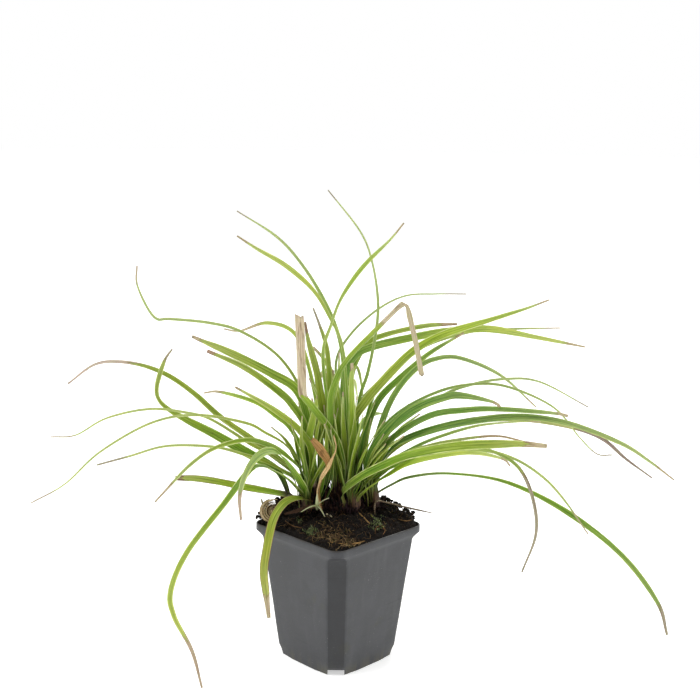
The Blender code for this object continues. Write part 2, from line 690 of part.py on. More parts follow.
def soil_height(across, away):
    """Top of the peat: level at the rim, mounded under the crown, lumpy all over."""
    spread = 2 * SOIL_MOUND_SPREAD ** 2
    mound = SOIL_MOUND * math.exp(-((across - CROWN[0]) ** 2 + (away - CROWN[1]) ** 2) / spread)
    back = SOIL_BACK_RISE * (0.5 + 0.5 * math.tanh(away / SOIL_BACK_SPAN))
    lumps = math.sin(across * 0.41 + 1.3) * math.cos(away * 0.37 - 0.4)
    lumps += 0.8 * math.sin(across * 0.73 - away * 0.52 + 2.1)
    lumps += 0.6 * math.cos(across * 0.93 + away * 1.07)
    heaps = 0.0
    for heap_across, heap_away, height, width in SOIL_HEAPS:
        heaps += height * math.exp(-((across - heap_across) ** 2 + (away - heap_away) ** 2) / width)
    return SOIL_EDGE + mound + back + lumps * SOIL_LUMP + heaps


def place_in_view(point):
    """Across and away, as the photograph sees it, of a point of the pot's frame."""
    across = point.x * math.cos(POT_TURN) - point.y * math.sin(POT_TURN)
    away = point.x * math.sin(POT_TURN) + point.y * math.cos(POT_TURN)
    return across, away


def build_soil(material, holes):
    inset = WALL + SOIL_CLEARANCE
    levels = [
        body_ring(FLOOR + CLEARANCE, inset, SOIL_FLAT_POINTS),
        body_ring(TAB_START, inset, SOIL_FLAT_POINTS),
        rim_ring(POT_HEIGHT - RIM_HEIGHT, inset, SOIL_FLAT_POINTS),
    ]
    top = rim_ring(POT_HEIGHT, inset, SOIL_FLAT_POINTS)
    for scale in SOIL_RINGS:
        ring = []
        for p in top:
            point = Vector((p.x * scale, p.y * scale, 0.0))
            across, away = place_in_view(point)
            height = soil_height(across, away)
            if scale == 1.0:
                height = POT_HEIGHT + SOIL_LIP
            point.z = height
            ring.append(point)
        levels.append(ring)
    soil = make_object("soil", loft(levels), material)
    combine(soil, holes, "DIFFERENCE")
    return soil


def hole_under(across, away, half_wide, half_deep, sides=SHEATH_SIDES):
    """A plain hole in the peat for what stands there."""
    low = soil_height(across, away) - HOLE_DEPTH - CLEARANCE
    shape = prism_solid(across, away, half_wide + CLEARANCE * 1.1, half_deep + CLEARANCE * 1.1, low,
                        low + 60.0, sides=sides)
    return make_object("hole", shape)


def foot_prism(across, away, half_wide, half_deep, high, taper=0.0, sides=SHEATH_SIDES):
    low = soil_height(across, away) - HOLE_DEPTH
    return prism_solid(across, away, half_wide, half_deep, low, high, taper, sides)


def tuft_blades():
    """Every green blade as (name, shoot, middle line, width, lean, tip)."""
    result = []
    for name, blade in BLADES.items():
        foot, foot_away = tuft_foot(blade.tuft)
        line = blade_line(foot, foot_away, blade.track, blade.away, drift=blade.drift)
        result.append((name, blade.tuft, line, blade.width, blade.lean, blade.tip))
    for name, (source, share, tuft, away, width) in ECHOES.items():
        foot, foot_away = tuft_foot(tuft)
        track = track_part(BLADES[source].track, share)[1:]
        line = blade_line(foot, foot_away, track, away)
        result.append((name, tuft, line, width, ECHO_LEAN, "point"))
    for index, (width, top, reach, swing) in enumerate(AWAY_FAN):
        foot, foot_away = tuft_foot("tuft_back")
        line = away_line(foot, top, reach, swing)
        result.append((f"away_{index}", "tuft_back", line, width, FAN_LEAN, "point"))
    return result


def away_line(foot, top, reach, swing):
    """An arching blade that leans straight away from the viewer, `swing` degrees to one side."""
    outward = from_view(math.sin(math.radians(swing)), math.cos(math.radians(swing)), 0.0)
    rise = top - foot.z
    places = [foot + outward * (reach * out) + Vector((0.0, 0.0, rise * up)) for out, up in FAN_SHAPE]
    return thinned(smooth_curve(places, STEP_LENGTH), STEP_SHORTEST)


def build_tufts(material):
    blades = tuft_blades()
    nodes = []
    holes = []
    for name, (across, away, half_wide, half_deep) in TUFTS.items():
        sheath = foot_prism(across, away, half_wide, half_deep, SHEATH_TOP, SHEATH_TAPER)
        tuft = make_object(name, sheath, material)
        strips = []
        for blade_name, owner, line, width, lean, tip in blades:
            if owner == name:
                strips.append(make_object(blade_name, blade_solid(line, width, lean, tip)))
        combine(tuft, strips, "UNION")
        nodes.append(tuft)
        holes.append(hole_under(across, away, half_wide, half_deep))
    return nodes, holes


def build_dead_leaves(material):
    across, away = DEAD_FOOT
    ground = soil_height(across, away)
    foot = from_view(across, away, ground + 3.0)
    shape = foot_prism(across, away, *DEAD_FOOT_HALF, ground + DEAD_FOOT_RISE, DEAD_FOOT_TAPER,
                       DEAD_FOOT_SIDES)
    base = make_object("dead_leaves", shape, material)
    strips = []
    for name, (track, tip_away, width) in DEAD_LEAVES.items():
        line = blade_line(foot, away, track, tip_away, 8.0)
        strips.append(make_object(name, blade_solid(line, width, 10.0, "cut")))
    combine(base, strips, "UNION")
    return base, hole_under(across, away, *DEAD_FOOT_HALF, DEAD_FOOT_SIDES)


def build_seedling(material):
    across, away = SEEDLING_FOOT
    heart = seen(*SEEDLING_HEART, away)
    stem = foot_prism(across, away, PEG_RADIUS, PEG_RADIUS, heart.z, sides=PEG_SIDES)
    base = make_object("seedling", stem, material)
    strips = []
    for px, py in SEEDLING_TIPS:
        tip = seen(px, py, away - 2.0)
        bow = (heart + tip) / 2 + Vector((0.0, 0.0, 1.0))
        line = [heart - Vector((0.0, 0.0, 0.6)), bow, tip]
        strips.append(make_object("seed_leaf", tube_solid(line, SEEDLING_STEM)))
    combine(base, strips, "UNION")
    return base, hole_under(across, away, PEG_RADIUS, PEG_RADIUS, PEG_SIDES)


def build_dead_stem(material):
    across, away = DEAD_STEM_FOOT
    first = seen(*DEAD_STEM_TRACK[0], away)
    shape = foot_prism(across, away, PEG_RADIUS, PEG_RADIUS, first.z, sides=PEG_SIDES)
    peg = make_object("dead_stem", shape, material)
    foot = from_view(across, away, first.z - 1.0)
    places = [foot]
    for index, (px, py) in enumerate(DEAD_STEM_TRACK[1:]):
        places.append(seen(px, py, away + 3.0 * (index + 1)))
    stem = make_object("stem", tube_solid(smooth_curve(places, 12.0), DEAD_STEM_THICKNESS))
    combine(peg, [stem], "UNION")
    return peg, hole_under(across, away, PEG_RADIUS, PEG_RADIUS, PEG_SIDES)


def build_straw_coil(material):
    """Strands bent in a half round over the left corner, joined at a peg in the peat."""
    across, away = STRAW_FOOT
    middle = Vector(STRAW_MIDDLE)
    peg_top = middle.z + STRAW_RADIUS * 0.3
    shape = foot_prism(across, away, *STRAW_FOOT_HALF, peg_top, sides=STRAW_FOOT_SIDES)
    peg = make_object("straw_coil", shape, material)
    strands = []
    for k in range(STRAW_STRANDS):
        shift = (k - (STRAW_STRANDS - 1) / 2) * STRAW_PITCH
        places = []
        for step in range(STRAW_STEPS):
            angle = math.radians(STRAW_FIRST_ANGLE + STRAW_TURN * step)
            across_strand = middle.x + STRAW_RADIUS * math.cos(angle) * STRAW_STRETCH
            places.append(from_view(across_strand, middle.y + shift,
                                    middle.z + STRAW_RADIUS * math.sin(angle)))
        strands.append(make_object("strand", tube_solid(places, STRAW_THICKNESS)))
    combine(peg, strands, "UNION")
    return peg, hole_under(across, away, *STRAW_FOOT_HALF, STRAW_FOOT_SIDES)


def build():
    clear_scene()
    plastic = make_material("pot_plastic", (0.085, 0.088, 0.09), 0.55)
    peat = make_material("peat", (0.02, 0.015, 0.012), 0.95)
    leaf = make_material("sedge_leaf", GREEN, 0.5)
    dry = make_material("dry_leaf", DRY, 0.75)
    tufts, holes = build_tufts(leaf)
    for piece in (build_dead_leaves, build_seedling, build_dead_stem, build_straw_coil):
        node, hole = piece(dry)
        holes.append(hole)
    build_soil(peat, holes)
    build_pot(plastic)


build()
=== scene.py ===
"""A carex sedge growing in its square nursery pot: its looks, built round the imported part.

The frame is the part's own: metres, +Z up, the pot's sides along X and Y, the origin at the middle of the
pot's base. Sizes below are in millimetres. Blades are tracks, points of the 700 x 700 photograph from root
to tip, set in space from the photograph's viewpoint, as in the part's source.
"""

import math
import random
from typing import NamedTuple

import bmesh
import bpy
from mathutils import Matrix, Vector, noise


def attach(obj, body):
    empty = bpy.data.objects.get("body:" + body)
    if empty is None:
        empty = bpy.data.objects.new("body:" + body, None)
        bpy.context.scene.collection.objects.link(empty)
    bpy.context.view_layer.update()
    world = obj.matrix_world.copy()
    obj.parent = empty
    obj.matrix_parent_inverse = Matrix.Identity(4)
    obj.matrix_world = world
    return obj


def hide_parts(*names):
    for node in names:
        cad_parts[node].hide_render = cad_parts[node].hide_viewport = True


MM = 0.001
UP = Vector((0.0, 0.0, 1.0))

# Pot
POT_HEIGHT = 100.0
RIM_SIDE = 90.0
RIM_HEIGHT = 5.0
RIM_RADIUS = 9.0
BODY_TOP_SIDE = 89.0
BODY_BASE_SIDE = 67.6
CHAMFER_TOP = 10.3
CHAMFER_BASE = 8.8
CHAMFER_EASE = 1.5
TAB_START = 91.0
EASE_STEPS = 5
STRIP_STEPS = 4
CORNER_STEPS = 2 * EASE_STEPS + STRIP_STEPS
WALL = 1.2
RIM_EASE = 0.5
NOTCH_HEIGHT = 4.4
NOTCH_WIDTH = 12.0
NOTCH_REACH = 20.0
INNER_FLOOR = 6.0
POT_FLAT_POINTS = 15
POT_LEVELS = 22
TAB_LEVELS = 5
TAB_BULGE = 1.4
POT_WAVER = 0.16
WAVER_CLOSE = 0.045
WAVER_START = Vector((3.0, 7.0, 1.0))
SHARP_EDGE = math.radians(38.0)

# The foot slopes in at the corners: how far, from what height, and over how many points beside them
FOOT_EASE = 1.5
FOOT_TOP = 8.0
FOOT_SPREAD = 4

# Soil
SOIL_EDGE = 101.0
SOIL_DROP = 1.1
SOIL_CLEARANCE = 0.4
SOIL_BASE_CLEARANCE = 0.3
SOIL_MOUND = 9.5
SOIL_MOUND_SPREAD = 25.0
SOIL_BACK_RISE = 3.0
SOIL_BACK_SPAN = 18.0
SOIL_LUMP = 0.9
HOLE_DEPTH = 8.0
CROWN = (2.0, 15.0)

# Heaps and dips in the peat: across, away, height, and how wide they spread
SOIL_HEAPS = ((-42.0, 13.0, 5.0, 70.0), (-51.0, 0.0, -5.5, 60.0), (50.0, 0.0, 3.6, 60.0),
              (40.0, 20.0, 3.4, 160.0))

# Viewpoint of the photograph: distances in millimetres, lengths in the picture in its own points
VIEW_DISTANCE = 800.0
VIEW_HEIGHT = 376.0
VIEW_FOCAL = 1143.0
VIEW_MIDDLE = 350.0
VIEW_PITCH = math.radians(10.43)
VIEW_ROLL = math.radians(0.79)
VIEW_YAW = math.radians(0.50)
POT_TURN = math.radians(44.62)
FILM_WIDTH = 36.0

# Blades
BLADE_STEP = 3.0
BLADE_THICKNESS = 0.34
FOLD = 0.34
DEPTH_DRIFT = 1.25
TIP_WIDTH = 0.5
MARGIN_THINNING = 0.72
MIDRIB = 1.25
KEEL_SOFTNESS = 0.012
KEEL_DROP = 0.11
RAGGED = (1.0, 0.16)
UNEVEN_WIDTH = 0.035
BLADE_COLUMNS = (-1.0, -0.9, -0.62, -0.3, 0.0, 0.3, 0.62, 0.9, 1.0)

# Sheath bases, one for each leafy shoot
SHEATH_TOP = 120.0
SHEATH_TAPER = 9.0
BLADE_ROOT_DEPTH = 4.0
SHEATH_POINTS = 44
SHEATH_LEVELS = 30
SHEATH_WRAPS = 5
SHEATH_SPIRAL = 0.012
SHEATH_NARROWING = 0.6
SHEATH_LIP_START = 0.66
SHEATH_LIP_RISE = 0.12
SHEATH_ROUGH = 0.03

# Shoots: name, place across and away from the pot's axis as the photograph sees it, half widths
TUFTS = {
    "tuft_centre": (2.0, 15.0, 6.4, 4.6),
    "tuft_left": (-25.0, 15.0, 4.6, 5.6),
    "tuft_front_left": (-23.0, 1.0, 4.8, 4.8),
    "tuft_front_right": (12.0, 0.0, 6.0, 4.6),
    "tuft_right": (27.0, 11.0, 4.8, 5.6),
    "tuft_back_right": (20.0, 28.0, 5.0, 4.8),
    "tuft_back": (2.0, 33.0, 6.0, 4.8),
    "tuft_back_left": (-16.0, 30.0, 5.0, 4.8),
}

# Colours as a screen shows them
DEEP = (36, 66, 4)
GREEN = (104, 148, 14)
OLIVE = (144, 160, 34)
LIME = (166, 192, 44)
YELLOW = (196, 204, 92)
BLUISH = (86, 138, 50)
GREYISH = (160, 178, 122)
MIST = (192, 198, 158)
TAN = (204, 188, 152)
BROWN = (134, 96, 62)
PINK = (206, 184, 160)
GREY = (176, 168, 146)
CREAM = (216, 214, 172)
ROOT_BROWN = (62, 36, 32)

# How a blade's colours run: spans as shares of its length, widths and lengths in millimetres
END_SPAN = (0.25, 0.9)
# ROOT_SHADE is painted shade: the blades darkened towards deep green near their roots, down in the crown
ROOT_SHADE_SPAN = (0.02, 0.28)
ROOT_SHADE = 0.78
CREAM_SPAN = (0.6, 1.0)
CREAM_SHARE = 0.3
MIST_SPAN = (0.2, 0.5)
MIST_SHARE = 0.62
SLIM_WIDTHS = (1.4, 3.4)
ROOT_BROWN_LENGTHS = (12.0, 21.0)
PALE_LENGTHS = (10.0, 34.0)
DRY_TIP_SPAN = 0.05
DRY_END_SPAN = 0.09
NEVER_DRY = 2.0


class Look(NamedTuple):
    """A blade's colours, its widths in the photograph as (share of the length, width), and how it dries."""

    middle: tuple = GREEN
    end: tuple = LIME
    px: tuple = ()
    dry: float = 0.94
    dry_tone: tuple = TAN
    pale: float = 0.85
    brown: float = 0.0
    twist: float = 9.0
    span: float = 0.0
    kink: float = 0.0


class Blade(NamedTuple):
    """One blade: shoot, track from root to tip, how far away its tip is, width, lean, end and look."""

    tuft: str
    track: tuple
    away: float
    width: float
    lean: float = 45.0
    tip: str = "point"
    look: Look = None
    drift: float = DEPTH_DRIFT


# Blades that the photograph shows
BLADES = {
    # Left side
    "left_arch": Blade("tuft_left", ((296, 476), (254, 442), (221, 418), (192, 392), (163, 373), (130, 363),
        (97, 364), (68, 384)), 40, 6.2,
        look=Look(OLIVE, OLIVE, ((0.1, 7), (0.4, 6), (0.6, 4.6), (0.75, 3.2), (0.9, 2.8), (1, 2.4)), 0.76,
        (214, 196, 182), 0.6, 0.4)),
    "left_folded": Blade("tuft_left", ((276, 471), (248, 454), (215, 435), (190, 422), (168, 409),
        (158, 398), (157, 384), (164, 361), (172, 349)), 4, 7.6, 55,
        look=Look(GREEN, OLIVE, ((0.1, 8), (0.45, 9.5), (0.6, 8), (0.7, 4), (0.76, 2), (0.85, 5),
        (0.91, 5.5), (0.96, 2.5), (1, 1)), 0.95, GREY, 0.8, 0.2)),
    "left_high": Blade("tuft_left", ((309, 450), (306, 415), (296, 389), (270, 373), (230, 353),
        (193, 337)), 62, 7.8, 50, "cut",
        look=Look(GREEN, OLIVE, ((0.2, 7), (0.5, 9), (0.8, 8.5), (0.93, 5), (1, 1.5)), 0.97, TAN, 0.9,
        0.3)),
    "left_torn": Blade("tuft_left", ((307, 462), (305, 428), (292, 405), (278, 391), (245, 368),
        (207, 351)), 34, 6.4, 45,
        look=Look(GREEN, OLIVE, ((0.2, 7), (0.5, 7.5), (0.8, 6), (1, 4)), 0.97, (170, 130, 100), 0.8, 0.4)),
    "left_lime": Blade("tuft_left", ((312, 455), (301, 432), (280, 414), (260, 401), (235, 387)), 12, 6.0,
        look=Look(LIME, YELLOW, ((0.2, 7), (0.6, 6.5), (0.85, 4.5), (1, 1.5)), 0.97, TAN, 0.7)),
    "left_upright": Blade("tuft_left", ((307, 470), (308, 445), (313, 420), (319, 395)), 22, 6.4, 20,
        look=Look(BLUISH, LIME, ((0.2, 7), (0.6, 8), (0.85, 6), (1, 2)), 0.97, TAN)),
    "left_wire_high": Blade("tuft_left", ((301, 478), (276, 458), (250, 444), (232, 432), (212, 420),
        (194, 414), (151, 409), (107, 418), (76, 435), (51, 437)), -22, 2.2,
        look=Look(OLIVE, YELLOW, ((0.1, 4), (0.4, 3), (0.7, 2.4), (1, 1.2)), 0.94, TAN, 0.4)),
    "left_stump": Blade("tuft_left", ((290, 496), (245, 487), (201, 479), (176, 478)), -14, 6.6, 60, "cut",
        look=Look(LIME, OLIVE, ((0.1, 6), (0.5, 7), (0.8, 7), (1, 5)), 0.96, BROWN, 0.6, 0.9)),
    "left_wire_low": Blade("tuft_front_left", ((303, 470), (286, 446), (265, 433), (245, 423), (196, 415),
        (151, 423), (100, 452), (65, 484), (31, 503)), -88, 2.2,
        look=Look(OLIVE, YELLOW, ((0.1, 4), (0.4, 3), (0.7, 2.4), (1, 1.2)), 0.95, TAN, 0.4)),
    "left_brown_tip": Blade("tuft_front_left", ((292, 478), (268, 463), (245, 455), (214, 447), (167, 446),
        (130, 456), (97, 465)), -60, 2.4,
        look=Look(OLIVE, YELLOW, ((0.1, 4), (0.5, 3), (0.8, 2.4), (1, 1.8)), 0.9, GREY, 0.4)),
    "left_droop": Blade("tuft_front_left", ((304, 476), (286, 456), (268, 445), (246, 440), (215, 448),
        (190, 465), (165, 491), (155, 502)), -72, 3.6,
        look=Look(GREEN, OLIVE, ((0.1, 5), (0.5, 5), (0.8, 3.6), (1, 1.6)), 0.9, TAN, 0.7)),
    "left_hook": Blade("tuft_front_left", ((304, 491), (290, 468), (277, 453), (262, 454), (248, 470),
        (240, 495), (241, 520)), -80, 6.4, 50,
        look=Look(GREEN, GREYISH, ((0.1, 8), (0.4, 8.5), (0.7, 6.5), (0.9, 3.4), (1, 1.8)), 0.84, PINK,
        0.8)),
    "left_trailer": Blade("tuft_front_left", ((303, 496), (290, 482), (276, 472), (262, 467), (250, 471),
        (225, 503), (188, 551), (171, 590), (174, 616), (192, 651), (202, 688)), -104, 4.4,
        look=Look(GREEN, YELLOW, ((0.1, 6), (0.4, 6), (0.7, 6), (0.88, 4), (1, 2)), 0.86, PINK, 1.0)),
    "over_rim": Blade("tuft_front_left", ((307, 500), (296, 499), (284, 504), (273, 521), (266, 554),
        (264, 573), (266, 592), (269, 618)), -46, 7.0, 40, "point", drift=0.6,
        look=Look(OLIVE, (178, 176, 80), ((0.1, 7), (0.35, 8.6), (0.7, 8.8), (0.86, 7), (1, 2)), 0.88, TAN,
        1.0, 0.9, 4.0)),
    # Middle
    "top_left_thin": Blade("tuft_centre", ((346, 470), (345, 410), (344, 372), (339, 337), (325, 302),
        (303, 266), (277, 237), (237, 211)), 66, 3.0,
        look=Look(GREEN, GREYISH, ((0.2, 4.5), (0.5, 4), (0.8, 3), (1, 1.2)), 0.97, GREY, 0.3)),
    "top_left_lime": Blade("tuft_centre", ((349, 470), (347, 400), (342, 346), (330, 318), (313, 290),
        (286, 266), (257, 249), (237, 236)), 30, 3.8,
        look=Look(GREEN, YELLOW, ((0.2, 4), (0.5, 3), (0.66, 3.4), (0.8, 5), (0.9, 4), (1, 1.5)), 0.97, TAN,
        0.5)),
    "top_wire": Blade("tuft_centre", ((354, 460), (359, 402), (368, 372), (376, 332), (378, 300),
        (372, 261), (360, 231), (328, 190)), 74, 1.8,
        look=Look(GREEN, GREYISH, ((0.2, 4), (0.5, 3), (0.8, 2), (1, 1.2)), 0.97, GREY, 0.2)),
    "top_right_lime": Blade("tuft_centre", ((338, 470), (329, 410), (323, 355), (331, 325), (342, 297),
        (363, 267), (390, 240), (404, 223)), 16, 4.0,
        look=Look(GREEN, LIME, ((0.2, 4), (0.5, 3.2), (0.62, 2.6), (0.8, 4.5), (1, 1.5)), 0.97, TAN, 0.5)),
    "snapped_left": Blade("tuft_centre", ((341, 468), (336, 444), (328, 429), (315, 412), (306, 401),
        (302.5, 397), (301.5, 393), (301, 380), (299.5, 340), (298.5, 316)), -20, 7.6, 10, "cut",
        look=Look(GREEN, LIME, ((0.1, 8), (0.35, 9.5), (0.52, 8.5), (0.6, 7.5), (0.66, 9), (0.85, 10.5),
        (1, 11)), 0.605, (214, 198, 168), 0.8, 0.1, 2.0, 0.01)),
    "snapped_right": Blade("tuft_centre", ((336, 460), (331, 408), (337, 380), (350, 358), (376, 331),
        (399, 308), (403, 304.5), (406.5, 307), (408, 312), (415, 342), (421, 375)), -40, 6.2, 35, "cut",
        look=Look(GREEN, OLIVE, ((0.1, 7), (0.45, 6.5), (0.6, 5), (0.74, 4.2), (0.79, 5.0), (1, 5.4)), 0.69,
        (204, 192, 160), 0.5, 0.1, 2.0, 0.05, 0.765)),
    "middle_olive": Blade("tuft_centre", ((331, 460), (321, 400), (316, 370), (308, 340), (305, 322)), 2,
        6.6, 15,
        look=Look(OLIVE, OLIVE, ((0.1, 8), (0.5, 9), (0.8, 6.5), (1, 2)), 0.95, BROWN, 0.5, 0.6)),
    "middle_slim": Blade("tuft_centre", ((334, 455), (328, 412), (329, 385), (327, 350), (319, 324),
        (313, 308)), 26, 5.0, 15,
        look=Look(GREEN, OLIVE, ((0.1, 6), (0.5, 6), (0.8, 4.5), (1, 1.6)), 0.9, GREY, 0.5, 0.5)),
    "middle_short": Blade("tuft_centre", ((342, 450), (337, 400), (331, 372), (323, 358), (313, 347)), 44,
        5.2, 15,
        look=Look(DEEP, LIME, ((0.1, 7), (0.5, 7), (0.8, 5.5), (1, 2)), 0.95, TAN, 0.4)),
    "middle_wide": Blade("tuft_centre", ((352, 462), (353, 430), (352, 392), (352, 363)), 4, 5.4, 15,
        look=Look(GREEN, LIME, ((0.1, 7), (0.5, 8), (0.8, 6.5), (1, 2)), 0.96, TAN, 0.5)),
    # Right side
    "right_long_high": Blade("tuft_back", ((352, 465), (346, 420), (345, 380), (354, 357), (372, 347),
        (410, 338), (450, 331), (490, 329), (535, 337), (585, 347)), 92, 6.0,
        look=Look(BLUISH, YELLOW, ((0.1, 7), (0.4, 8), (0.7, 7.5), (0.9, 4), (1, 1.5)), 0.95, TAN, 0.4)),
    "right_torn_high": Blade("tuft_back", ((358, 460), (350, 410), (352, 372), (366, 345), (385, 335),
        (425, 326), (457, 324)), 110, 4.2,
        look=Look(BLUISH, OLIVE, ((0.1, 6), (0.5, 6), (0.85, 5), (1, 5)), 0.93, (188, 160, 124), 0.6)),
    "right_wire_high": Blade("tuft_back", ((356, 450), (341, 400), (336, 362), (350, 335), (377, 310),
        (405, 296), (435, 294), (466, 294)), 124, 1.8,
        look=Look(BLUISH, GREYISH, ((0.1, 3), (0.5, 2.6), (1, 1.2)), 0.93, GREY, 0.2)),
    "right_bright": Blade("tuft_centre", ((357, 470), (352, 428), (366, 402), (390, 374), (415, 350),
        (445, 334), (490, 320), (525, 309), (549, 300)), 52, 7.0, 45,
        look=Look(OLIVE, LIME, ((0.1, 7), (0.4, 9), (0.65, 7.5), (0.85, 4.4), (1, 1.6)), 0.97, TAN, 0.9,
        0.1)),
    "right_steep": Blade("tuft_right", ((362, 476), (361, 459), (366, 433), (378, 401), (400, 378),
        (430, 353), (464, 333)), 56, 4.8,
        look=Look(BLUISH, GREEN, ((0.1, 6), (0.5, 7), (0.8, 5), (1, 2)), 0.96, TAN, 0.5)),
    "right_wire_long": Blade("tuft_back_right", ((362, 465), (366, 420), (385, 375), (421, 348), (470, 332),
        (515, 329), (560, 328)), 140, 1.8,
        look=Look(GREEN, OLIVE, ((0.1, 4), (0.5, 4), (0.8, 3), (1, 1.2)), 0.95, TAN, 0.3)),
    "right_arch": Blade("tuft_right", ((370, 475), (373, 458), (379, 433), (388, 407), (400, 386),
        (417, 368), (435, 359), (460, 358), (500, 375), (536, 407)), 42, 4.0,
        look=Look(BLUISH, GREYISH, ((0.1, 6), (0.4, 6), (0.7, 4), (1, 1.5)), 0.96, TAN, 0.4)),
    "right_arch_wire": Blade("tuft_right", ((366, 470), (375, 440), (396, 415), (430, 395), (465, 385),
        (505, 386), (553, 407), (580, 438), (597, 454), (612, 455)), 6, 2.2,
        look=Look(BLUISH, OLIVE, ((0.1, 4), (0.5, 3), (1, 1.2)), 0.95, GREY, 0.3)),
    "right_arch_back": Blade("tuft_back_right", ((372, 462), (392, 430), (440, 397), (470, 385), (505, 379),
        (540, 382), (588, 407)), 96, 2.0,
        look=Look(BLUISH, GREYISH, ((0.1, 4), (0.5, 3), (1, 1.2)), 0.95, GREY, 0.3)),
    "right_dark": Blade("tuft_right", ((366, 478), (376, 446), (407, 413), (445, 397), (465, 396),
        (493, 402), (500, 407)), -26, 7.2,
        look=Look(BLUISH, BLUISH, ((0.1, 8), (0.4, 9), (0.75, 8), (1, 2.5)), 0.97, TAN, 0.3)),
    "right_straight": Blade("tuft_right", ((370, 480), (385, 447), (409, 427), (435, 414), (465, 410),
        (495, 409), (552, 413), (568, 416)), -44, 5.0,
        look=Look(BLUISH, BLUISH, ((0.1, 6), (0.5, 6.5), (0.85, 5), (1, 2.5)), 0.97, TAN, 0.4)),
    "right_long_low": Blade("tuft_right", ((374, 480), (392, 450), (411, 438), (457, 424), (515, 417),
        (566, 423), (620, 443), (649, 461), (674, 480)), -78, 5.4,
        look=Look(BLUISH, GREYISH, ((0.1, 7), (0.5, 7), (0.8, 5), (0.92, 3), (1, 1.2)), 0.96, TAN, 0.4)),
    "right_dead": Blade("tuft_back_right", ((380, 465), (410, 440), (460, 424), (515, 420), (566, 426),
        (601, 438), (626, 459), (652, 478)), 60, 2.4,
        look=Look(OLIVE, TAN, ((0.1, 4), (0.5, 3), (0.75, 4.5), (0.9, 4.5), (1, 1.5)), 0.72,
        (146, 128, 120), 0.2, 0.6)),
    "right_lime_wide": Blade("tuft_front_right", ((343, 494), (360, 478), (385, 465), (410, 455),
        (457, 446), (515, 444), (547, 446)), -104, 7.4,
        look=Look(GREEN, OLIVE, ((0.1, 7), (0.4, 9), (0.75, 9.5), (0.92, 6.5), (1, 3.5)), 0.93, TAN, 1.0,
        0.2)),
    "right_lime_short": Blade("tuft_front_right", ((360, 497), (372, 486), (391, 474), (410, 463),
        (448, 455), (476, 453), (503, 459), (510, 466)), -112, 4.6,
        look=Look(LIME, YELLOW, ((0.1, 6), (0.5, 5.5), (0.85, 4), (1, 1.5)), 0.95, TAN, 0.4)),
    "right_trailer": Blade("tuft_right", ((377, 494), (391, 486), (410, 478), (448, 474), (505, 482),
        (563, 510), (620, 554), (657, 602), (667, 635)), -26, 4.8,
        look=Look(GREEN, GREEN, ((0.1, 3), (0.3, 2.6), (0.42, 4), (0.6, 6.5), (0.8, 5.5), (0.92, 4),
        (1, 2.2)), 0.93, GREY, 0.8)),
    "right_hanging": Blade("tuft_front_right", ((350, 490), (385, 470), (430, 457), (470, 450), (494, 452),
        (519, 468), (533, 499), (536, 534), (522, 572)), -88, 2.0,
        look=Look(GREEN, OLIVE, ((0.1, 4), (0.5, 3.6), (0.8, 3.6), (1, 4)), 0.7, GREY, 0.2, 0.3)),
    "right_wire_low": Blade("tuft_front_right", ((362, 486), (400, 464), (440, 454), (480, 450), (515, 459),
        (544, 478), (565, 501), (588, 534)), -62, 2.2,
        look=Look(GREEN, OLIVE, ((0.1, 4), (0.5, 3.4), (0.8, 2.6), (1, 1.2)), 0.93, TAN, 0.3)),
    "right_wire_mid": Blade("tuft_back_right", ((384, 466), (410, 450), (436, 438), (476, 426), (515, 422),
        (541, 422)), 36, 2.2,
        look=Look(BLUISH, OLIVE, ((0.1, 4), (0.5, 3.4), (1, 1.2)), 0.95, TAN, 0.3)),
    "right_brown": Blade("tuft_front_right", ((356, 484), (390, 462), (425, 447), (457, 440), (496, 436),
        (526, 442)), -84, 2.6,
        look=Look(OLIVE, OLIVE, ((0.1, 4), (0.5, 3.6), (1, 2)), 0.8, (186, 158, 120), 0.3, 0.6)),
    # Far side
    "back_curl": Blade("tuft_back_left", ((318, 455), (305, 400), (280, 358), (242, 332), (210, 323),
        (170, 319), (157, 319), (147, 307), (137, 284), (137, 266)), 96, 2.2,
        look=Look(OLIVE, GREYISH, ((0.1, 4), (0.5, 3), (0.8, 2.8), (1, 1.8)), 0.96, TAN, 0.4)),
    "back_twist": Blade("tuft_back_left", ((322, 450), (312, 380), (296, 335), (268, 323), (240, 331),
        (224, 329)), 112, 2.6,
        look=Look(GREEN, YELLOW, ((0.1, 4), (0.6, 4), (0.8, 5.5), (0.9, 3.5), (1, 2)), 0.84, TAN, 0.4)),
    "back_thin": Blade("tuft_back_left", ((314, 470), (305, 453), (290, 428), (277, 417), (255, 402),
        (220, 392), (204, 393)), 72, 3.2,
        look=Look(GREEN, LIME, ((0.1, 4), (0.5, 4.5), (0.8, 4), (1, 1.4)), 0.9, TAN, 0.5)),
}

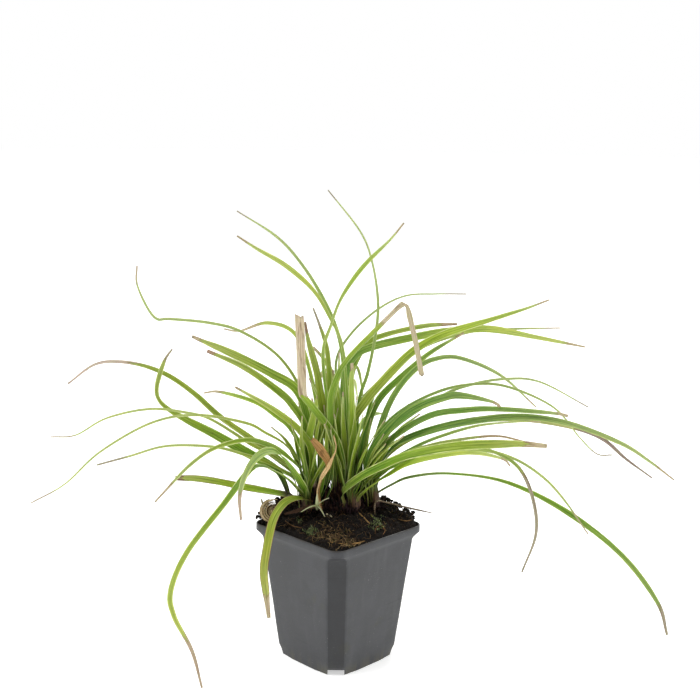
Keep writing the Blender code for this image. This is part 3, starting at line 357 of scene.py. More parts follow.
# Short inner blades that fill the crown, shoot by shoot: track, tip's depth, width, lean
INNER = {
    "tuft_centre": (
        (((338, 488), (331, 445), (332, 407), (338, 378), (339, 352)), 10, 6.0, 20),
        (((344, 486), (340, 450), (337, 420), (335, 395), (333, 370)), 24, 5.6, 20),
        (((346, 486), (345, 450), (343, 415), (343, 392)), 6, 5.2, 20),
        (((350, 486), (350, 455), (354, 425), (357, 396)), 0, 5.6, 20),
        (((352, 486), (356, 455), (366, 425), (375, 402)), 4, 5.6, 20),
        (((338, 486), (333, 455), (324, 425), (320, 398)), 30, 4.8, 20),
        (((341, 486), (338, 462), (329, 440), (324, 424)), -4, 4.8, 20),
        (((338, 489), (331, 462), (328, 440), (327, 416)), 12, 5.2, 20),
        (((335, 489), (327, 465), (319, 445), (313, 426)), 20, 5.2, 25),
        (((344, 489), (341, 462), (337, 440), (334, 414)), 2, 5.2, 20),
        (((356, 488), (361, 462), (367, 440), (371, 418)), 10, 5.2, 20),
    ),
    "tuft_left": (
        (((311, 486), (313, 455), (320, 420), (326, 394)), 18, 4.6, 20),
        (((304, 486), (296, 460), (285, 440), (271, 427)), 10, 5.6, 35),
        (((308, 484), (308, 455), (304, 425), (299, 402)), 30, 5.6, 20),
        (((320, 487), (322, 455), (318, 425), (312, 398)), 22, 5.4, 20),
        (((304, 488), (299, 462), (295, 440), (291, 418)), 14, 5.4, 25),
        (((309, 488), (304, 462), (301, 440), (302, 416)), 8, 5.2, 20),
    ),
    "tuft_front_left": (
        (((308, 488), (314, 462), (321, 440), (327, 420)), -2, 5.4, 20),
        (((306, 488), (302, 462), (296, 440), (290, 424)), -16, 4.6, 30),
        (((311, 488), (320, 470), (330, 452), (334, 436)), 6, 4.4, 20),
        (((322, 489), (326, 460), (327, 430), (324, 405)), 6, 5.4, 20),
        (((325, 489), (331, 460), (334, 432), (338, 408)), 8, 5.0, 20),
        (((330, 492), (333, 470), (333, 448), (331, 426)), 2, 4.8, 20),
    ),
    "tuft_front_right": (
        (((352, 492), (360, 465), (372, 440), (385, 420)), -14, 5.6, 30),
        (((350, 492), (352, 465), (358, 440), (363, 414)), -8, 5.2, 20),
        (((356, 494), (368, 470), (384, 452), (404, 436)), -24, 5.2, 40),
        (((346, 492), (340, 470), (335, 450), (330, 430)), -8, 4.8, 20),
        (((358, 495), (371, 478), (386, 464), (399, 456)), -24, 4.8, 40),
        (((360, 494), (366, 472), (374, 452), (384, 434)), -6, 5.2, 25),
        (((353, 494), (364, 474), (374, 458), (386, 444)), -16, 5.0, 30),
    ),
    "tuft_right": (
        (((368, 482), (378, 452), (392, 428), (409, 404)), 20, 4.8, 30),
        (((372, 486), (390, 466), (412, 451), (437, 443)), -10, 4.8, 40),
        (((362, 488), (370, 466), (379, 448), (391, 436)), 0, 5.0, 30),
        (((366, 488), (372, 468), (383, 450), (398, 440)), 4, 5.2, 30),
        (((372, 488), (384, 472), (400, 460), (420, 450)), -8, 4.8, 40),
    ),
    "tuft_back_right": (
        (((370, 470), (380, 440), (396, 420), (417, 406)), 50, 4.8, 30),
        (((366, 470), (366, 440), (374, 412), (386, 392)), 44, 4.6, 20),
        (((376, 470), (388, 446), (402, 428), (420, 414)), 44, 4.8, 30),
    ),
    "tuft_back": (
        (((345, 470), (340, 430), (338, 400), (347, 374)), 50, 4.8, 20),
        (((350, 470), (352, 430), (362, 400), (377, 382)), 60, 4.8, 25),
        (((342, 480), (335, 440), (329, 405), (322, 372)), 46, 5.4, 20),
        (((352, 480), (349, 440), (346, 405), (351, 380)), 40, 5.0, 20),
    ),
    "tuft_back_left": (
        (((325, 470), (318, 440), (311, 415), (307, 396)), 50, 4.8, 20),
        (((328, 480), (327, 440), (321, 405), (309, 378)), 46, 5.0, 20),
    ),
}

# Looks of the blades that the photograph doesn't single out
PLAIN_LOOKS = (Look(GREEN, OLIVE, (), 0.97, TAN, 0.55), Look(GREEN, LIME, (), 0.97, TAN, 0.65),
               Look(BLUISH, OLIVE, (), 0.98, TAN, 0.5), Look(GREEN, OLIVE, (), 0.96, TAN, 0.6),
               Look(OLIVE, LIME, (), 0.97, TAN, 0.7))

# Far-side blades hidden by a nearer one: which one, share of its track, shoot, tip's depth, width
ECHO_LEAN = 30.0
ECHOES = (
    ("left_arch", 0.92, "tuft_back_left", 132, 4.6),
    ("left_folded", 0.62, "tuft_back_left", 104, 5.2),
    ("left_high", 0.98, "tuft_back_left", 150, 5.4),
    ("top_left_lime", 0.66, "tuft_back", 120, 3.4),
    ("snapped_left", 1.0, "tuft_back", 150, 5.4),
    ("middle_olive", 1.0, "tuft_back", 96, 5.4),
    ("middle_slim", 1.0, "tuft_back", 170, 4.6),
    ("snapped_right", 0.62, "tuft_back", 172, 5.0),
    ("top_right_lime", 0.74, "tuft_back", 140, 3.4),
    ("right_bright", 0.92, "tuft_back", 150, 5.4),
    ("right_dark", 0.98, "tuft_back_right", 132, 5.6),
    ("right_straight", 0.86, "tuft_back_right", 112, 4.4),
    ("right_lime_wide", 0.9, "tuft_back_right", 78, 5.6),
)

# Blades that lean straight away behind the middle: width, highest point, reach and swing in degrees
FAN_TUFT = "tuft_back"
FAN_LEAN = 25.0
FAN_SHAPE = ((0.0, 0.0), (0.06, 0.34), (0.2, 0.72), (0.42, 1.0), (0.72, 0.9), (1.0, 0.52))
AWAY_FAN = ((5.6, 198.0, 96.0, -14.0), (4.8, 186.0, 134.0, 6.0), (5.4, 204.0, 70.0, 15.0),
            (4.2, 174.0, 158.0, -6.0), (4.6, 160.0, 116.0, 24.0), (4.4, 164.0, 122.0, -27.0))

# Dead pieces round the crown: where they stand, across and away, and their tracks in the photograph.
# A dead leaf has its track, how far away its tip is and its width.
DEAD_FOOT = (-12.0, -5.0)
DEAD_LEAVES = {
    "twisted": (((319, 491), (321, 480), (326, 472), (328, 463), (321, 451), (312, 440)), -8.0, 5.4),
    "curled": (((318, 493), (320, 483), (324, 474), (332, 461), (336.5, 448), (334, 436)), -12.0, 2.2),
    "brown_base": (((312, 507), (300, 510), (285, 514)), -17.0, 3.2),
}
SEEDLING_AWAY = -12.5
SEEDLING_HEART = (317.0, 506.0)
SEEDLING_TIPS = ((317, 494), (329, 498), (301, 512), (325, 517))
DEAD_STEM_FOOT = (27.0, -1.0)
DEAD_STEM_TRACK = ((378, 501), (385, 502), (405, 507), (432, 513))
DEAD_STEM_THICKNESS = 1.3
DEAD_STEM_TONE = (96, 72, 48)
STRAW_AWAY = 1.0


def from_view(across, away, up):
    """A place given across and away as the photograph sees it, in the pot's frame."""
    x = across * math.cos(POT_TURN) + away * math.sin(POT_TURN)
    y = -across * math.sin(POT_TURN) + away * math.cos(POT_TURN)
    return Vector((x, y, up))


def seen(px, py, away):
    """The point of the picture (px, py) that lies `away` beyond the pot's axis, in the pot's frame."""
    du = px - VIEW_MIDDLE
    dv = py - VIEW_MIDDLE
    u = du * math.cos(VIEW_ROLL) + dv * math.sin(VIEW_ROLL)
    v = -du * math.sin(VIEW_ROLL) + dv * math.cos(VIEW_ROLL)
    right = u / VIEW_FOCAL
    up = -v / VIEW_FOCAL
    ahead = math.cos(VIEW_PITCH) + math.sin(VIEW_PITCH) * up
    rise = -math.sin(VIEW_PITCH) + math.cos(VIEW_PITCH) * up
    ray_x = right * math.cos(VIEW_YAW) + ahead * math.sin(VIEW_YAW)
    ray_y = -right * math.sin(VIEW_YAW) + ahead * math.cos(VIEW_YAW)
    reach = (VIEW_DISTANCE + away) / ray_y
    return from_view(ray_x * reach, away, VIEW_HEIGHT + rise * reach)


def picture_point(place):
    """Where the photograph shows a point of the pot's frame."""
    x = place.x * math.cos(POT_TURN) - place.y * math.sin(POT_TURN)
    y = place.x * math.sin(POT_TURN) + place.y * math.cos(POT_TURN) + VIEW_DISTANCE
    z = place.z - VIEW_HEIGHT
    turned_x = x * math.cos(VIEW_YAW) - y * math.sin(VIEW_YAW)
    turned_y = x * math.sin(VIEW_YAW) + y * math.cos(VIEW_YAW)
    ahead = turned_y * math.cos(VIEW_PITCH) - z * math.sin(VIEW_PITCH)
    up = turned_y * math.sin(VIEW_PITCH) + z * math.cos(VIEW_PITCH)
    u = turned_x / ahead * VIEW_FOCAL
    v = -up / ahead * VIEW_FOCAL
    return (VIEW_MIDDLE + u * math.cos(VIEW_ROLL) - v * math.sin(VIEW_ROLL),
            VIEW_MIDDLE + u * math.sin(VIEW_ROLL) + v * math.cos(VIEW_ROLL))


def to_viewer(place):
    """Direction from a place to the photograph's viewpoint."""
    eye = from_view(0.0, -VIEW_DISTANCE, VIEW_HEIGHT)
    return (eye - place).normalized()


def smooth_curve(points, step):
    """Points of a Catmull-Rom curve through `points`, about `step` apart, with every given point kept."""
    line = [points[0]]
    padded = [points[0] * 2 - points[1]] + list(points) + [points[-1] * 2 - points[-2]]
    for before, start, end, after in zip(padded, padded[1:], padded[2:], padded[3:]):
        count = max(1, round((end - start).length / step))
        for k in range(1, count + 1):
            t = k / count
            pull = (end - before) * t + (before * 2 - start * 5 + end * 4 - after) * t ** 2
            pull += (start * 3 - before - end * 3 + after) * t ** 3
            line.append(start + pull * 0.5)
    return line


def shares(points):
    """How far along the line each point lies, from 0 to 1."""
    lengths = [0.0]
    for start, end in zip(points, points[1:]):
        lengths.append(lengths[-1] + (end - start).length)
    return [length / lengths[-1] for length in lengths]


def thinned(points, shortest):
    """The line without points closer than `shortest` to the one kept before; both ends stay."""
    kept = [points[0]]
    for point in points[1:-1]:
        if (point - kept[-1]).length >= shortest and (point - points[-1]).length >= shortest:
            kept.append(point)
    return kept + [points[-1]]


def tuft_foot(name):
    """Where a shoot's blades part, and how far away that is."""
    across, away = TUFTS[name][:2]
    return from_view(across, away, SHEATH_TOP - BLADE_ROOT_DEPTH), away


def blade_line(foot, foot_away, track, tip_away, step=BLADE_STEP, drift=DEPTH_DRIFT):
    """The middle line of a blade: from its foot along its track, drifting in depth towards its tip."""
    flat = [Vector(picture_point(foot))] + [Vector(point) for point in track]
    along = shares(flat)
    places = [foot]
    for (px, py), share in zip(track, along[1:]):
        places.append(seen(px, py, foot_away + (tip_away - foot_away) * share ** drift))
    return thinned(smooth_curve(places, step), step * 0.6)


def track_part(track, share):
    """The first part of a track, cut at a share of its length."""
    points = [Vector(point) for point in track]
    along = shares(points)
    kept = []
    for index, point in enumerate(points):
        if along[index] <= share:
            kept.append(tuple(point))
            continue
        span = (share - along[index - 1]) / (along[index] - along[index - 1])
        kept.append(tuple(points[index - 1].lerp(point, span)))
        break
    return tuple(kept)


def width_share(share, tip):
    """Width of a blade along its length, from 0 at the root to 1 at the tip."""
    root = min(1.0, 0.72 + 1.3 * share)
    if tip == "cut":
        return root * (1.0 - 0.12 * share)
    if share < 0.42:
        return root
    return root * (1.0 - 0.86 * ((share - 0.42) / 0.58) ** 1.7)


def directions(points):
    """Tangent at each point of a line."""
    result = []
    for index in range(len(points)):
        before = points[max(index - 1, 0)]
        after = points[min(index + 1, len(points) - 1)]
        result.append((after - before).normalized())
    return result


def blade_frames(points, lean):
    """Side and face direction of a blade at each point, the face turning towards the viewer."""
    tangents = directions(points)
    heading = points[-1] - points[0]
    heading.z = 0.0
    side = UP.cross(heading).normalized()
    sides = []
    for tangent in tangents:
        side = (side - tangent * side.dot(tangent)).normalized()
        sides.append(side.copy())
    middle = len(points) // 2
    trial = Matrix.Rotation(math.radians(lean), 3, tangents[middle]) @ sides[middle]
    other = Matrix.Rotation(math.radians(-lean), 3, tangents[middle]) @ sides[middle]
    view = to_viewer(points[middle])
    turn = lean
    if tangents[middle].cross(trial).dot(view) < tangents[middle].cross(other).dot(view):
        turn = -lean
    frames = []
    for share, tangent, flat_side in zip(shares(points), tangents, sides):
        angle = math.radians(turn) * min(1.0, share * 2.2)
        turned = Matrix.Rotation(angle, 3, tangent) @ flat_side
        frames.append((turned, tangent.cross(turned)))
    return frames


def linear(colour):
    """A screen colour as the light it stands for."""
    result = []
    for channel in colour:
        share = channel / 255.0
        result.append(share / 12.92 if share <= 0.04045 else ((share + 0.055) / 1.055) ** 2.4)
    return tuple(result)


def blend(first, second, share):
    """A colour between two others."""
    share = min(max(share, 0.0), 1.0)
    return tuple(a + (b - a) * share for a, b in zip(first, second))


def ease(low, high, value):
    """From 0 below `low` to 1 above `high`, softly."""
    share = min(max((value - low) / (high - low), 0.0), 1.0)
    return share * share * (3.0 - 2.0 * share)


def between_stops(stops, share):
    """The value at a share of the length, between given (share, value) stops."""
    if share <= stops[0][0]:
        return stops[0][1]
    for (low, first), (high, second) in zip(stops, stops[1:]):
        if share <= high:
            return first + (second - first) * ease(low, high, share)
    return stops[-1][1]


class Shape:
    """Points, faces and point values of one piece while it is built."""

    def __init__(self, **fields):
        self.points = []
        self.faces = []
        self.fields = {name: [] for name in fields}
        self.defaults = fields

    def add(self, point, **values):
        """A new point, given in millimetres, and its number."""
        self.points.append(point * MM)
        for name, default in self.defaults.items():
            self.fields[name].append(values.get(name, default))
        return len(self.points) - 1

    def skin(self, rings):
        """Faces between rings of equal length."""
        for start, end in zip(rings, rings[1:]):
            count = len(start)
            for k in range(count):
                following = (k + 1) % count
                self.faces.append((start[k], start[following], end[following], end[k]))

    def closed_skin(self, rings):
        """Faces between rings, and one over each end."""
        self.skin(rings)
        self.faces.append(tuple(rings[0][::-1]))
        self.faces.append(tuple(rings[-1]))

    def piece(self, name, material, replaces=()):
        """The finished object, riding on the part's one body."""
        mesh = bpy.data.meshes.new(name)
        mesh.from_pydata(self.points, [], self.faces)
        for field, values in self.fields.items():
            if isinstance(self.defaults[field], tuple):
                layer = mesh.attributes.new(field, "FLOAT_COLOR", "POINT")
                flat = []
                for value in values:
                    flat.extend((*value, 1.0))
                layer.data.foreach_set("color", flat)
            else:
                layer = mesh.attributes.new(field, "FLOAT", "POINT")
                layer.data.foreach_set("value", values)
        mesh.update()
        shape = bmesh.new()
        shape.from_mesh(mesh)
        bmesh.ops.recalc_face_normals(shape, faces=shape.faces)
        shape.to_mesh(mesh)
        shape.free()
        mesh.materials.append(material)
        mesh.polygons.foreach_set("use_smooth", [True] * len(mesh.polygons))
        item = bpy.data.objects.new(name, mesh)
        bpy.context.scene.collection.objects.link(item)
        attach(item, "root")
        for node in replaces:
            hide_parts(node)
        return item


# Fitting a blade's roll and widths to the photograph
ROLL_TRIALS = range(0, 90, 10)
KINK_TRIALS = range(-75, 90, 15)
KINK_SPAN = (0.03, 0.05)
LEAN_COST = 0.003
LEAST_WIDTH = 0.6
LEAST_WIDTH_DROP = 0.35
LEAST_WIDTH_SPAN = (0.86, 1.0)
MOST_WIDTH = 1.45
MOST_WIDTH_RISE = 0.9
MOST_WIDTH_SPAN = (0.6, 0.9)
MOST_CUT_WIDTH = 1.3
WIDTH_REACH = 3
SHORTEST_SEEN = 1e-6
SLIMMEST_SEEN = 0.12


def fitted_widths(points, frames, width, tip, px):
    """Blade widths that look as wide as the photograph shows them, and how far they are from plain ones."""
    result = []
    misfit = 0.0
    for place, (side, _), tangent, share in zip(points, frames, directions(points), shares(points)):
        plain = max(TIP_WIDTH, width * width_share(share, tip))
        if not px:
            result.append(plain)
            continue
        left = Vector(picture_point(place - side * 0.5))
        right = Vector(picture_point(place + side * 0.5))
        ahead = Vector(picture_point(place + tangent)) - Vector(picture_point(place))
        across = right - left
        if ahead.length < SHORTEST_SEEN:
            result.append(plain)
            continue
        seen_width = abs(across.x * ahead.y - across.y * ahead.x) / ahead.length
        wanted = between_stops(px, share) / max(seen_width, SLIMMEST_SEEN)
        misfit += abs(math.log(wanted / plain)) / len(points)
        least = LEAST_WIDTH - LEAST_WIDTH_DROP * ease(*LEAST_WIDTH_SPAN, share)
        most = MOST_CUT_WIDTH
        if tip == "point":
            most = MOST_WIDTH + MOST_WIDTH_RISE * ease(*MOST_WIDTH_SPAN, share)
        result.append(min(max(wanted, plain * least), plain * most))
    smooth = []
    for index in range(len(result)):
        near = result[max(index - WIDTH_REACH, 0):index + WIDTH_REACH + 1]
        smooth.append(sum(near) / len(near))
    return smooth, misfit


def fitted_blade(points, width, lean, tip, px):
    """Frames, rolled so that the blade looks as wide as in the photograph, and its widths."""
    best = None
    for trial in ROLL_TRIALS if px else (lean,):
        frames = blade_frames(points, trial)
        widths, misfit = fitted_widths(points, frames, width, tip, px)
        cost = misfit + LEAN_COST * abs(trial - lean)
        if best is None or cost < best[0]:
            best = (cost, frames, widths)
    return best[1], best[2]


def turned_past_kink(points, frames, kink, width, tip, px):
    """The blade turned about itself past its kink, so that its end looks as wide as in the photograph."""
    best = None
    for degrees in KINK_TRIALS:
        trial = []
        for share, tangent, (side, face) in zip(shares(points), directions(points), frames):
            angle = math.radians(degrees) * ease(kink - KINK_SPAN[0], kink + KINK_SPAN[1], share)
            turn = Matrix.Rotation(angle, 3, tangent)
            trial.append((turn @ side, turn @ face))
        widths, misfit = fitted_widths(points, trial, width, tip, px)
        if best is None or misfit < best[0]:
            best = (misfit, trial, widths)
    return best[1], best[2]


def blade_values(look, share, side, width, along, seed):
    """Colour and dryness of a point of a blade, `along` millimetres from its root."""
    green = blend(linear(look.middle), linear(look.end), ease(*END_SPAN, share))
    # Painted shade: darker towards the root, down in the crown
    green = blend(linear(DEEP), green, 1.0 - ROOT_SHADE + ROOT_SHADE * ease(*ROOT_SHADE_SPAN, share))
    green = blend(green, linear(CREAM), CREAM_SHARE * ease(*CREAM_SPAN, share))
    slim = 1.0 - ease(*SLIM_WIDTHS, width)
    green = blend(green, linear(MIST), MIST_SHARE * slim * ease(*MIST_SPAN, share))
    if share < 0.5 and look.dry < NEVER_DRY:
        green = blend(linear(ROOT_BROWN), green, ease(*ROOT_BROWN_LENGTHS, along))
    span = look.span or (DRY_TIP_SPAN if look.dry > 0.9 else DRY_END_SPAN)
    dryness = ease(look.dry - span, look.dry + span, share + 0.02 * abs(side))
    return {
        "tint": green,
        "dry_tint": linear(look.dry_tone),
        "dryness": dryness,
        "pale": look.pale * ease(*PALE_LENGTHS, along),
        "brown": look.brown,
        "side": side,
        "margin": (1.0 - abs(side)) * width / 2.0,
        "along": along,
        "seed": seed,
    }


BLADE_FIELDS = {"tint": (0.1, 0.2, 0.05), "dry_tint": (0.4, 0.3, 0.2), "dryness": 0.0, "pale": 0.0,
                "brown": 0.0, "side": 0.0, "margin": 0.0, "along": 0.0, "seed": 0.0}


def add_blade(shape, points, frames, widths, look, tip, draw, fold=FOLD, thickness=BLADE_THICKNESS,
              columns=BLADE_COLUMNS):
    """A channelled blade with a keeled middle, thin margins and a ragged end where it is torn."""
    seed = draw.uniform(0.0, 100.0)
    phase = draw.uniform(0.0, math.tau)
    waves = draw.uniform(1.2, 2.4)
    length = sum((end - start).length for start, end in zip(points, points[1:]))
    spans = zip(points, frames, widths, shares(points), directions(points))
    ragged = [draw.uniform(-1.0, 1.0) for _ in columns]
    rings = []
    for index, (place, (side, face), width, share, tangent) in enumerate(spans):
        wobble = math.radians(look.twist) * math.sin(phase + waves * math.tau * share)
        turn = Matrix.Rotation(wobble * ease(0.05, 0.5, share), 3, tangent)
        side = turn @ side
        face = turn @ face
        width *= 1.0 + UNEVEN_WIDTH * noise.noise(Vector((share * length * 0.09, seed, 0.0)))
        channel = fold * (1.0 - 0.35 * ease(0.1, 0.7, share))
        above = []
        below = []
        for column, across in enumerate(columns):
            lift = channel * width * 0.5 * (math.sqrt(across * across + KEEL_SOFTNESS) - KEEL_DROP)
            spot = place + side * (across * width * 0.5) + face * lift
            if tip == "cut" and index >= len(points) - 2:
                spot += tangent * (ragged[column] * (RAGGED[0] + RAGGED[1] * width))
            values = blade_values(look, share, across, width, share * length, seed)
            half = thickness * 0.5 * (1.0 - MARGIN_THINNING * abs(across) ** 3)
            if across == 0.0:
                half *= MIDRIB
            above.append(shape.add(spot + face * half, **values))
            below.append(shape.add(spot - face * half, **values))
        rings.append(above + below[::-1])
    shape.closed_skin(rings)


# Roots: how deep they go, where they start, and how far out from the shoot's middle they stand
ROOT_DEPTH = 3.0
ROOT_CLEAR = 13.0
ROOT_LEAST_HEIGHT = 7.0
ROOT_SHARE = 0.55
KNEE_SHARE = 0.68
ROOT_WIDTH = 0.78


def with_root(tuft, line, frames, widths, first):
    """The blade with its root carried down to the peat: below its first traced place, if it has one."""
    across, away = TUFTS[tuft][:2]
    middle = from_view(across, away, 0.0)
    ground = soil_height(across, away) - ROOT_DEPTH
    if first is None:
        keep = next((k for k, point in enumerate(line) if k >= 3 and point.z > ground + ROOT_CLEAR), 3)
    else:
        keep = min(range(len(line)), key=lambda k: (line[k] - first).length)
        keep = max(1, min(keep, len(line) - 8))
    start = line[keep]
    root = middle.lerp(start, ROOT_SHARE)
    root.z = min(ground, start.z - ROOT_LEAST_HEIGHT)
    knee = middle.lerp(start, KNEE_SHARE)
    knee.z = root.z + (start.z - root.z) * 0.5
    lower = smooth_curve([root, knee, start, line[keep + 3]], BLADE_STEP * 0.7)
    meet = min(range(len(lower)), key=lambda k: (lower[k] - start).length)
    lower = lower[:meet]
    side, _ = frames[keep]
    first_frames = []
    for tangent in reversed(directions(lower + [start])[:-1]):
        side = (side - tangent * side.dot(tangent)).normalized()
        first_frames.append((side.copy(), tangent.cross(side)))
    first_frames.reverse()
    count = max(len(lower), 1)
    narrow = [widths[keep] * (ROOT_WIDTH + (1.0 - ROOT_WIDTH) * k / count) for k in range(len(lower))]
    return lower + line[keep:], first_frames + frames[keep:], narrow + widths[keep:]


def tuft_blades(tuft):
    """A shoot's blades as (blade, middle line, first traced place if it has one)."""
    foot, foot_away = tuft_foot(tuft)
    traced = [blade for blade in BLADES.values() if blade.tuft == tuft]
    traced += [Blade(tuft, *row) for row in INNER.get(tuft, ())]
    result = []
    for blade in traced:
        line = blade_line(foot, foot_away, blade.track, blade.away, drift=blade.drift)
        result.append((blade, line, seen(*blade.track[0], foot_away)))
    for source, share, owner, away, width in ECHOES:
        if owner == tuft:
            track = track_part(BLADES[source].track, share)[1:]
            line = blade_line(foot, foot_away, track, away)
            result.append((Blade(tuft, track, away, width, ECHO_LEAN), line, None))
    if tuft == FAN_TUFT:
        for width, top, reach, swing in AWAY_FAN:
            line = away_line(foot, top, reach, swing)
            result.append((Blade(tuft, (), reach, width, FAN_LEAN), line, None))
    return result


def away_line(foot, top, reach, swing):
    """An arching blade that leans straight away from the viewer, `swing` degrees to one side."""
    outward = from_view(math.sin(math.radians(swing)), math.cos(math.radians(swing)), 0.0)
    rise = top - foot.z
    places = [foot + outward * (reach * out) + UP * (rise * up) for out, up in FAN_SHAPE]
    return thinned(smooth_curve(places, BLADE_STEP), BLADE_STEP * 0.6)


def build_tufts(leaf, sheath):
    """Every shoot: its blades in one piece, and the sheaths at its base."""
    for name in TUFTS:
        draw = random.Random(name)
        shape = Shape(**BLADE_FIELDS)
        for blade, line, first in tuft_blades(name):
            look = blade.look or draw.choice(PLAIN_LOOKS)
            frames, widths = fitted_blade(line, blade.width, blade.lean, blade.tip, look.px)
            if look.kink:
                frames, widths = turned_past_kink(line, frames, look.kink, blade.width, blade.tip, look.px)
            line, frames, widths = with_root(name, line, frames, widths, first)
            add_blade(shape, line, frames, widths, look, blade.tip, draw)
        shape.piece(name + "_blades", leaf, (name,))
        build_sheath(name, sheath, draw)


SHEATH_FIELDS = {"height": 0.0, "fold": 0.0, "turn": 0.0, "seed": 0.0}


def build_sheath(name, material, draw):
    """The shoot's base: leaf sheaths wrapped round each other, each edge standing a little proud."""
    across, away, half_wide, half_deep = TUFTS[name]
    shape = Shape(**SHEATH_FIELDS)
    ground = soil_height(across, away)
    low = ground - HOLE_DEPTH
    high = SHEATH_TOP + SHEATH_TAPER
    seed = draw.uniform(0.0, 50.0)
    rings = []
    for level in range(SHEATH_LEVELS + 1):
        height = low + (high - low) * level / SHEATH_LEVELS
        taper = 1.0 - SHEATH_NARROWING * ease(ground + 4.0, high, height)
        ring = []
        for k in range(SHEATH_POINTS):
            angle = math.tau * k / SHEATH_POINTS
            wrap = (angle / math.tau * SHEATH_WRAPS + height * SHEATH_SPIRAL + seed) % 1.0
            lip = SHEATH_LIP_START + SHEATH_LIP_RISE * wrap
            rough = 1.0 + SHEATH_ROUGH * noise.noise(Vector((math.cos(angle) * 3.0, math.sin(angle) * 3.0,
                                                    height * 0.2 + seed)))
            scale = taper * lip * rough
            place = from_view(across + half_wide * scale * math.cos(angle),
                              away + half_deep * scale * math.sin(angle), height)
            ring.append(shape.add(place, height=height - ground, fold=wrap, turn=angle, seed=seed))
        rings.append(ring)
    shape.closed_skin(rings)
    shape.piece(name + "_sheath", material, (name,))


def add_tube(shape, points, thickness, sides=5, **values):
    """A closed round strand along a line, thinner at both ends."""
    tangents = directions(points)
    side = UP.cross(tangents[0])
    if side.length < 0.2:
        side = Vector((1.0, 0.0, 0.0))
    rings = []
    for place, tangent, share in zip(points, tangents, shares(points)):
        side = (side - tangent * side.dot(tangent)).normalized()
        other = tangent.cross(side)
        slim = 0.45 + 0.55 * min(1.0, 6.0 * share, 6.0 * (1.0 - share))
        ring = []
        for k in range(sides):
            angle = math.tau * (k + 0.5) / sides
            offset = side * math.cos(angle) + other * math.sin(angle)
            ring.append(shape.add(place + offset * (thickness * 0.5 * slim), along=share, **values))
        rings.append(ring)
    shape.closed_skin(rings)


def rounded_square(half, radius, flat_points=0):
    """Corner arcs of a rounded square, with points along its flats where they are asked for."""
    corner = []
    for k in range(CORNER_STEPS + 1):
        angle = math.pi / 2 * k / CORNER_STEPS
        corner.append(Vector((half - radius + radius * math.cos(angle),
                              half - radius + radius * math.sin(angle))))
    return four_corners(corner, flat_points)


def eased_edge(before, edge, after):
    """Points of a soft bend round an edge."""
    bend = []
    for k in range(EASE_STEPS + 1):
        t = k / EASE_STEPS
        bend.append(before * (1 - t) ** 2 + edge * (2 * t * (1 - t)) + after * t ** 2)
    return bend


def chamfered_square(half, leg, flat_points=0):
    """A square whose corners are cut off by flat strips, `leg` along each side, with eased edges."""
    first = Vector((half, half - leg))
    second = Vector((half - leg, half))
    along = (second - first).normalized()
    start = first + along * CHAMFER_EASE
    end = second - along * CHAMFER_EASE
    corner = eased_edge(first - Vector((0.0, CHAMFER_EASE)), first, start)
    corner += [start.lerp(end, k / STRIP_STEPS) for k in range(1, STRIP_STEPS)]
    corner += eased_edge(end, second, second - Vector((CHAMFER_EASE, 0.0)))
    return four_corners(corner, flat_points)


def four_corners(corner, flat_points):
    """The outline of a square that has the given corner four times over."""
    outline = []
    for quarter in range(4):
        turn = Matrix.Rotation(quarter * math.pi / 2, 2)
        outline.extend(turn @ point for point in corner)
        end = turn @ corner[-1]
        following = Matrix.Rotation((quarter + 1) * math.pi / 2, 2) @ corner[0]
        for k in range(1, flat_points + 1):
            outline.append(end.lerp(following, k / (flat_points + 1)))
    return outline


def body_half(height):
    """Half the outer side of the pot's body at a height."""
    return (BODY_BASE_SIDE + (BODY_TOP_SIDE - BODY_BASE_SIDE) * height / POT_HEIGHT) / 2


def body_ring(height, inset=0.0, flat_points=0):
    """Outline of the pot's body at a height, moved inwards by `inset`."""
    leg = CHAMFER_BASE + (CHAMFER_TOP - CHAMFER_BASE) * height / POT_HEIGHT
    leg -= (2.0 - math.sqrt(2)) * inset
    outline = chamfered_square(body_half(height) - inset, leg, flat_points)
    return [Vector((point.x, point.y, height)) for point in outline]


def rim_ring(height, inset=0.0, flat_points=0):
    """Outline of the pot's rim at a height, moved inwards by `inset`."""
    outline = rounded_square(RIM_SIDE / 2 - inset, RIM_RADIUS - inset, flat_points)
    return [Vector((point.x, point.y, height)) for point in outline]


def tab_ring(share, inset=0.0):
    """Outline between the body and the rim, sloping out under the rim."""
    low = body_ring(TAB_START, inset, POT_FLAT_POINTS)
    high = rim_ring(POT_HEIGHT - RIM_HEIGHT, inset, POT_FLAT_POINTS)
    bulge = share ** TAB_BULGE
    ring = []
    for start, end in zip(low, high):
        point = start.lerp(end, bulge)
        point.z = start.z + (end.z - start.z) * share
        ring.append(point)
    return ring


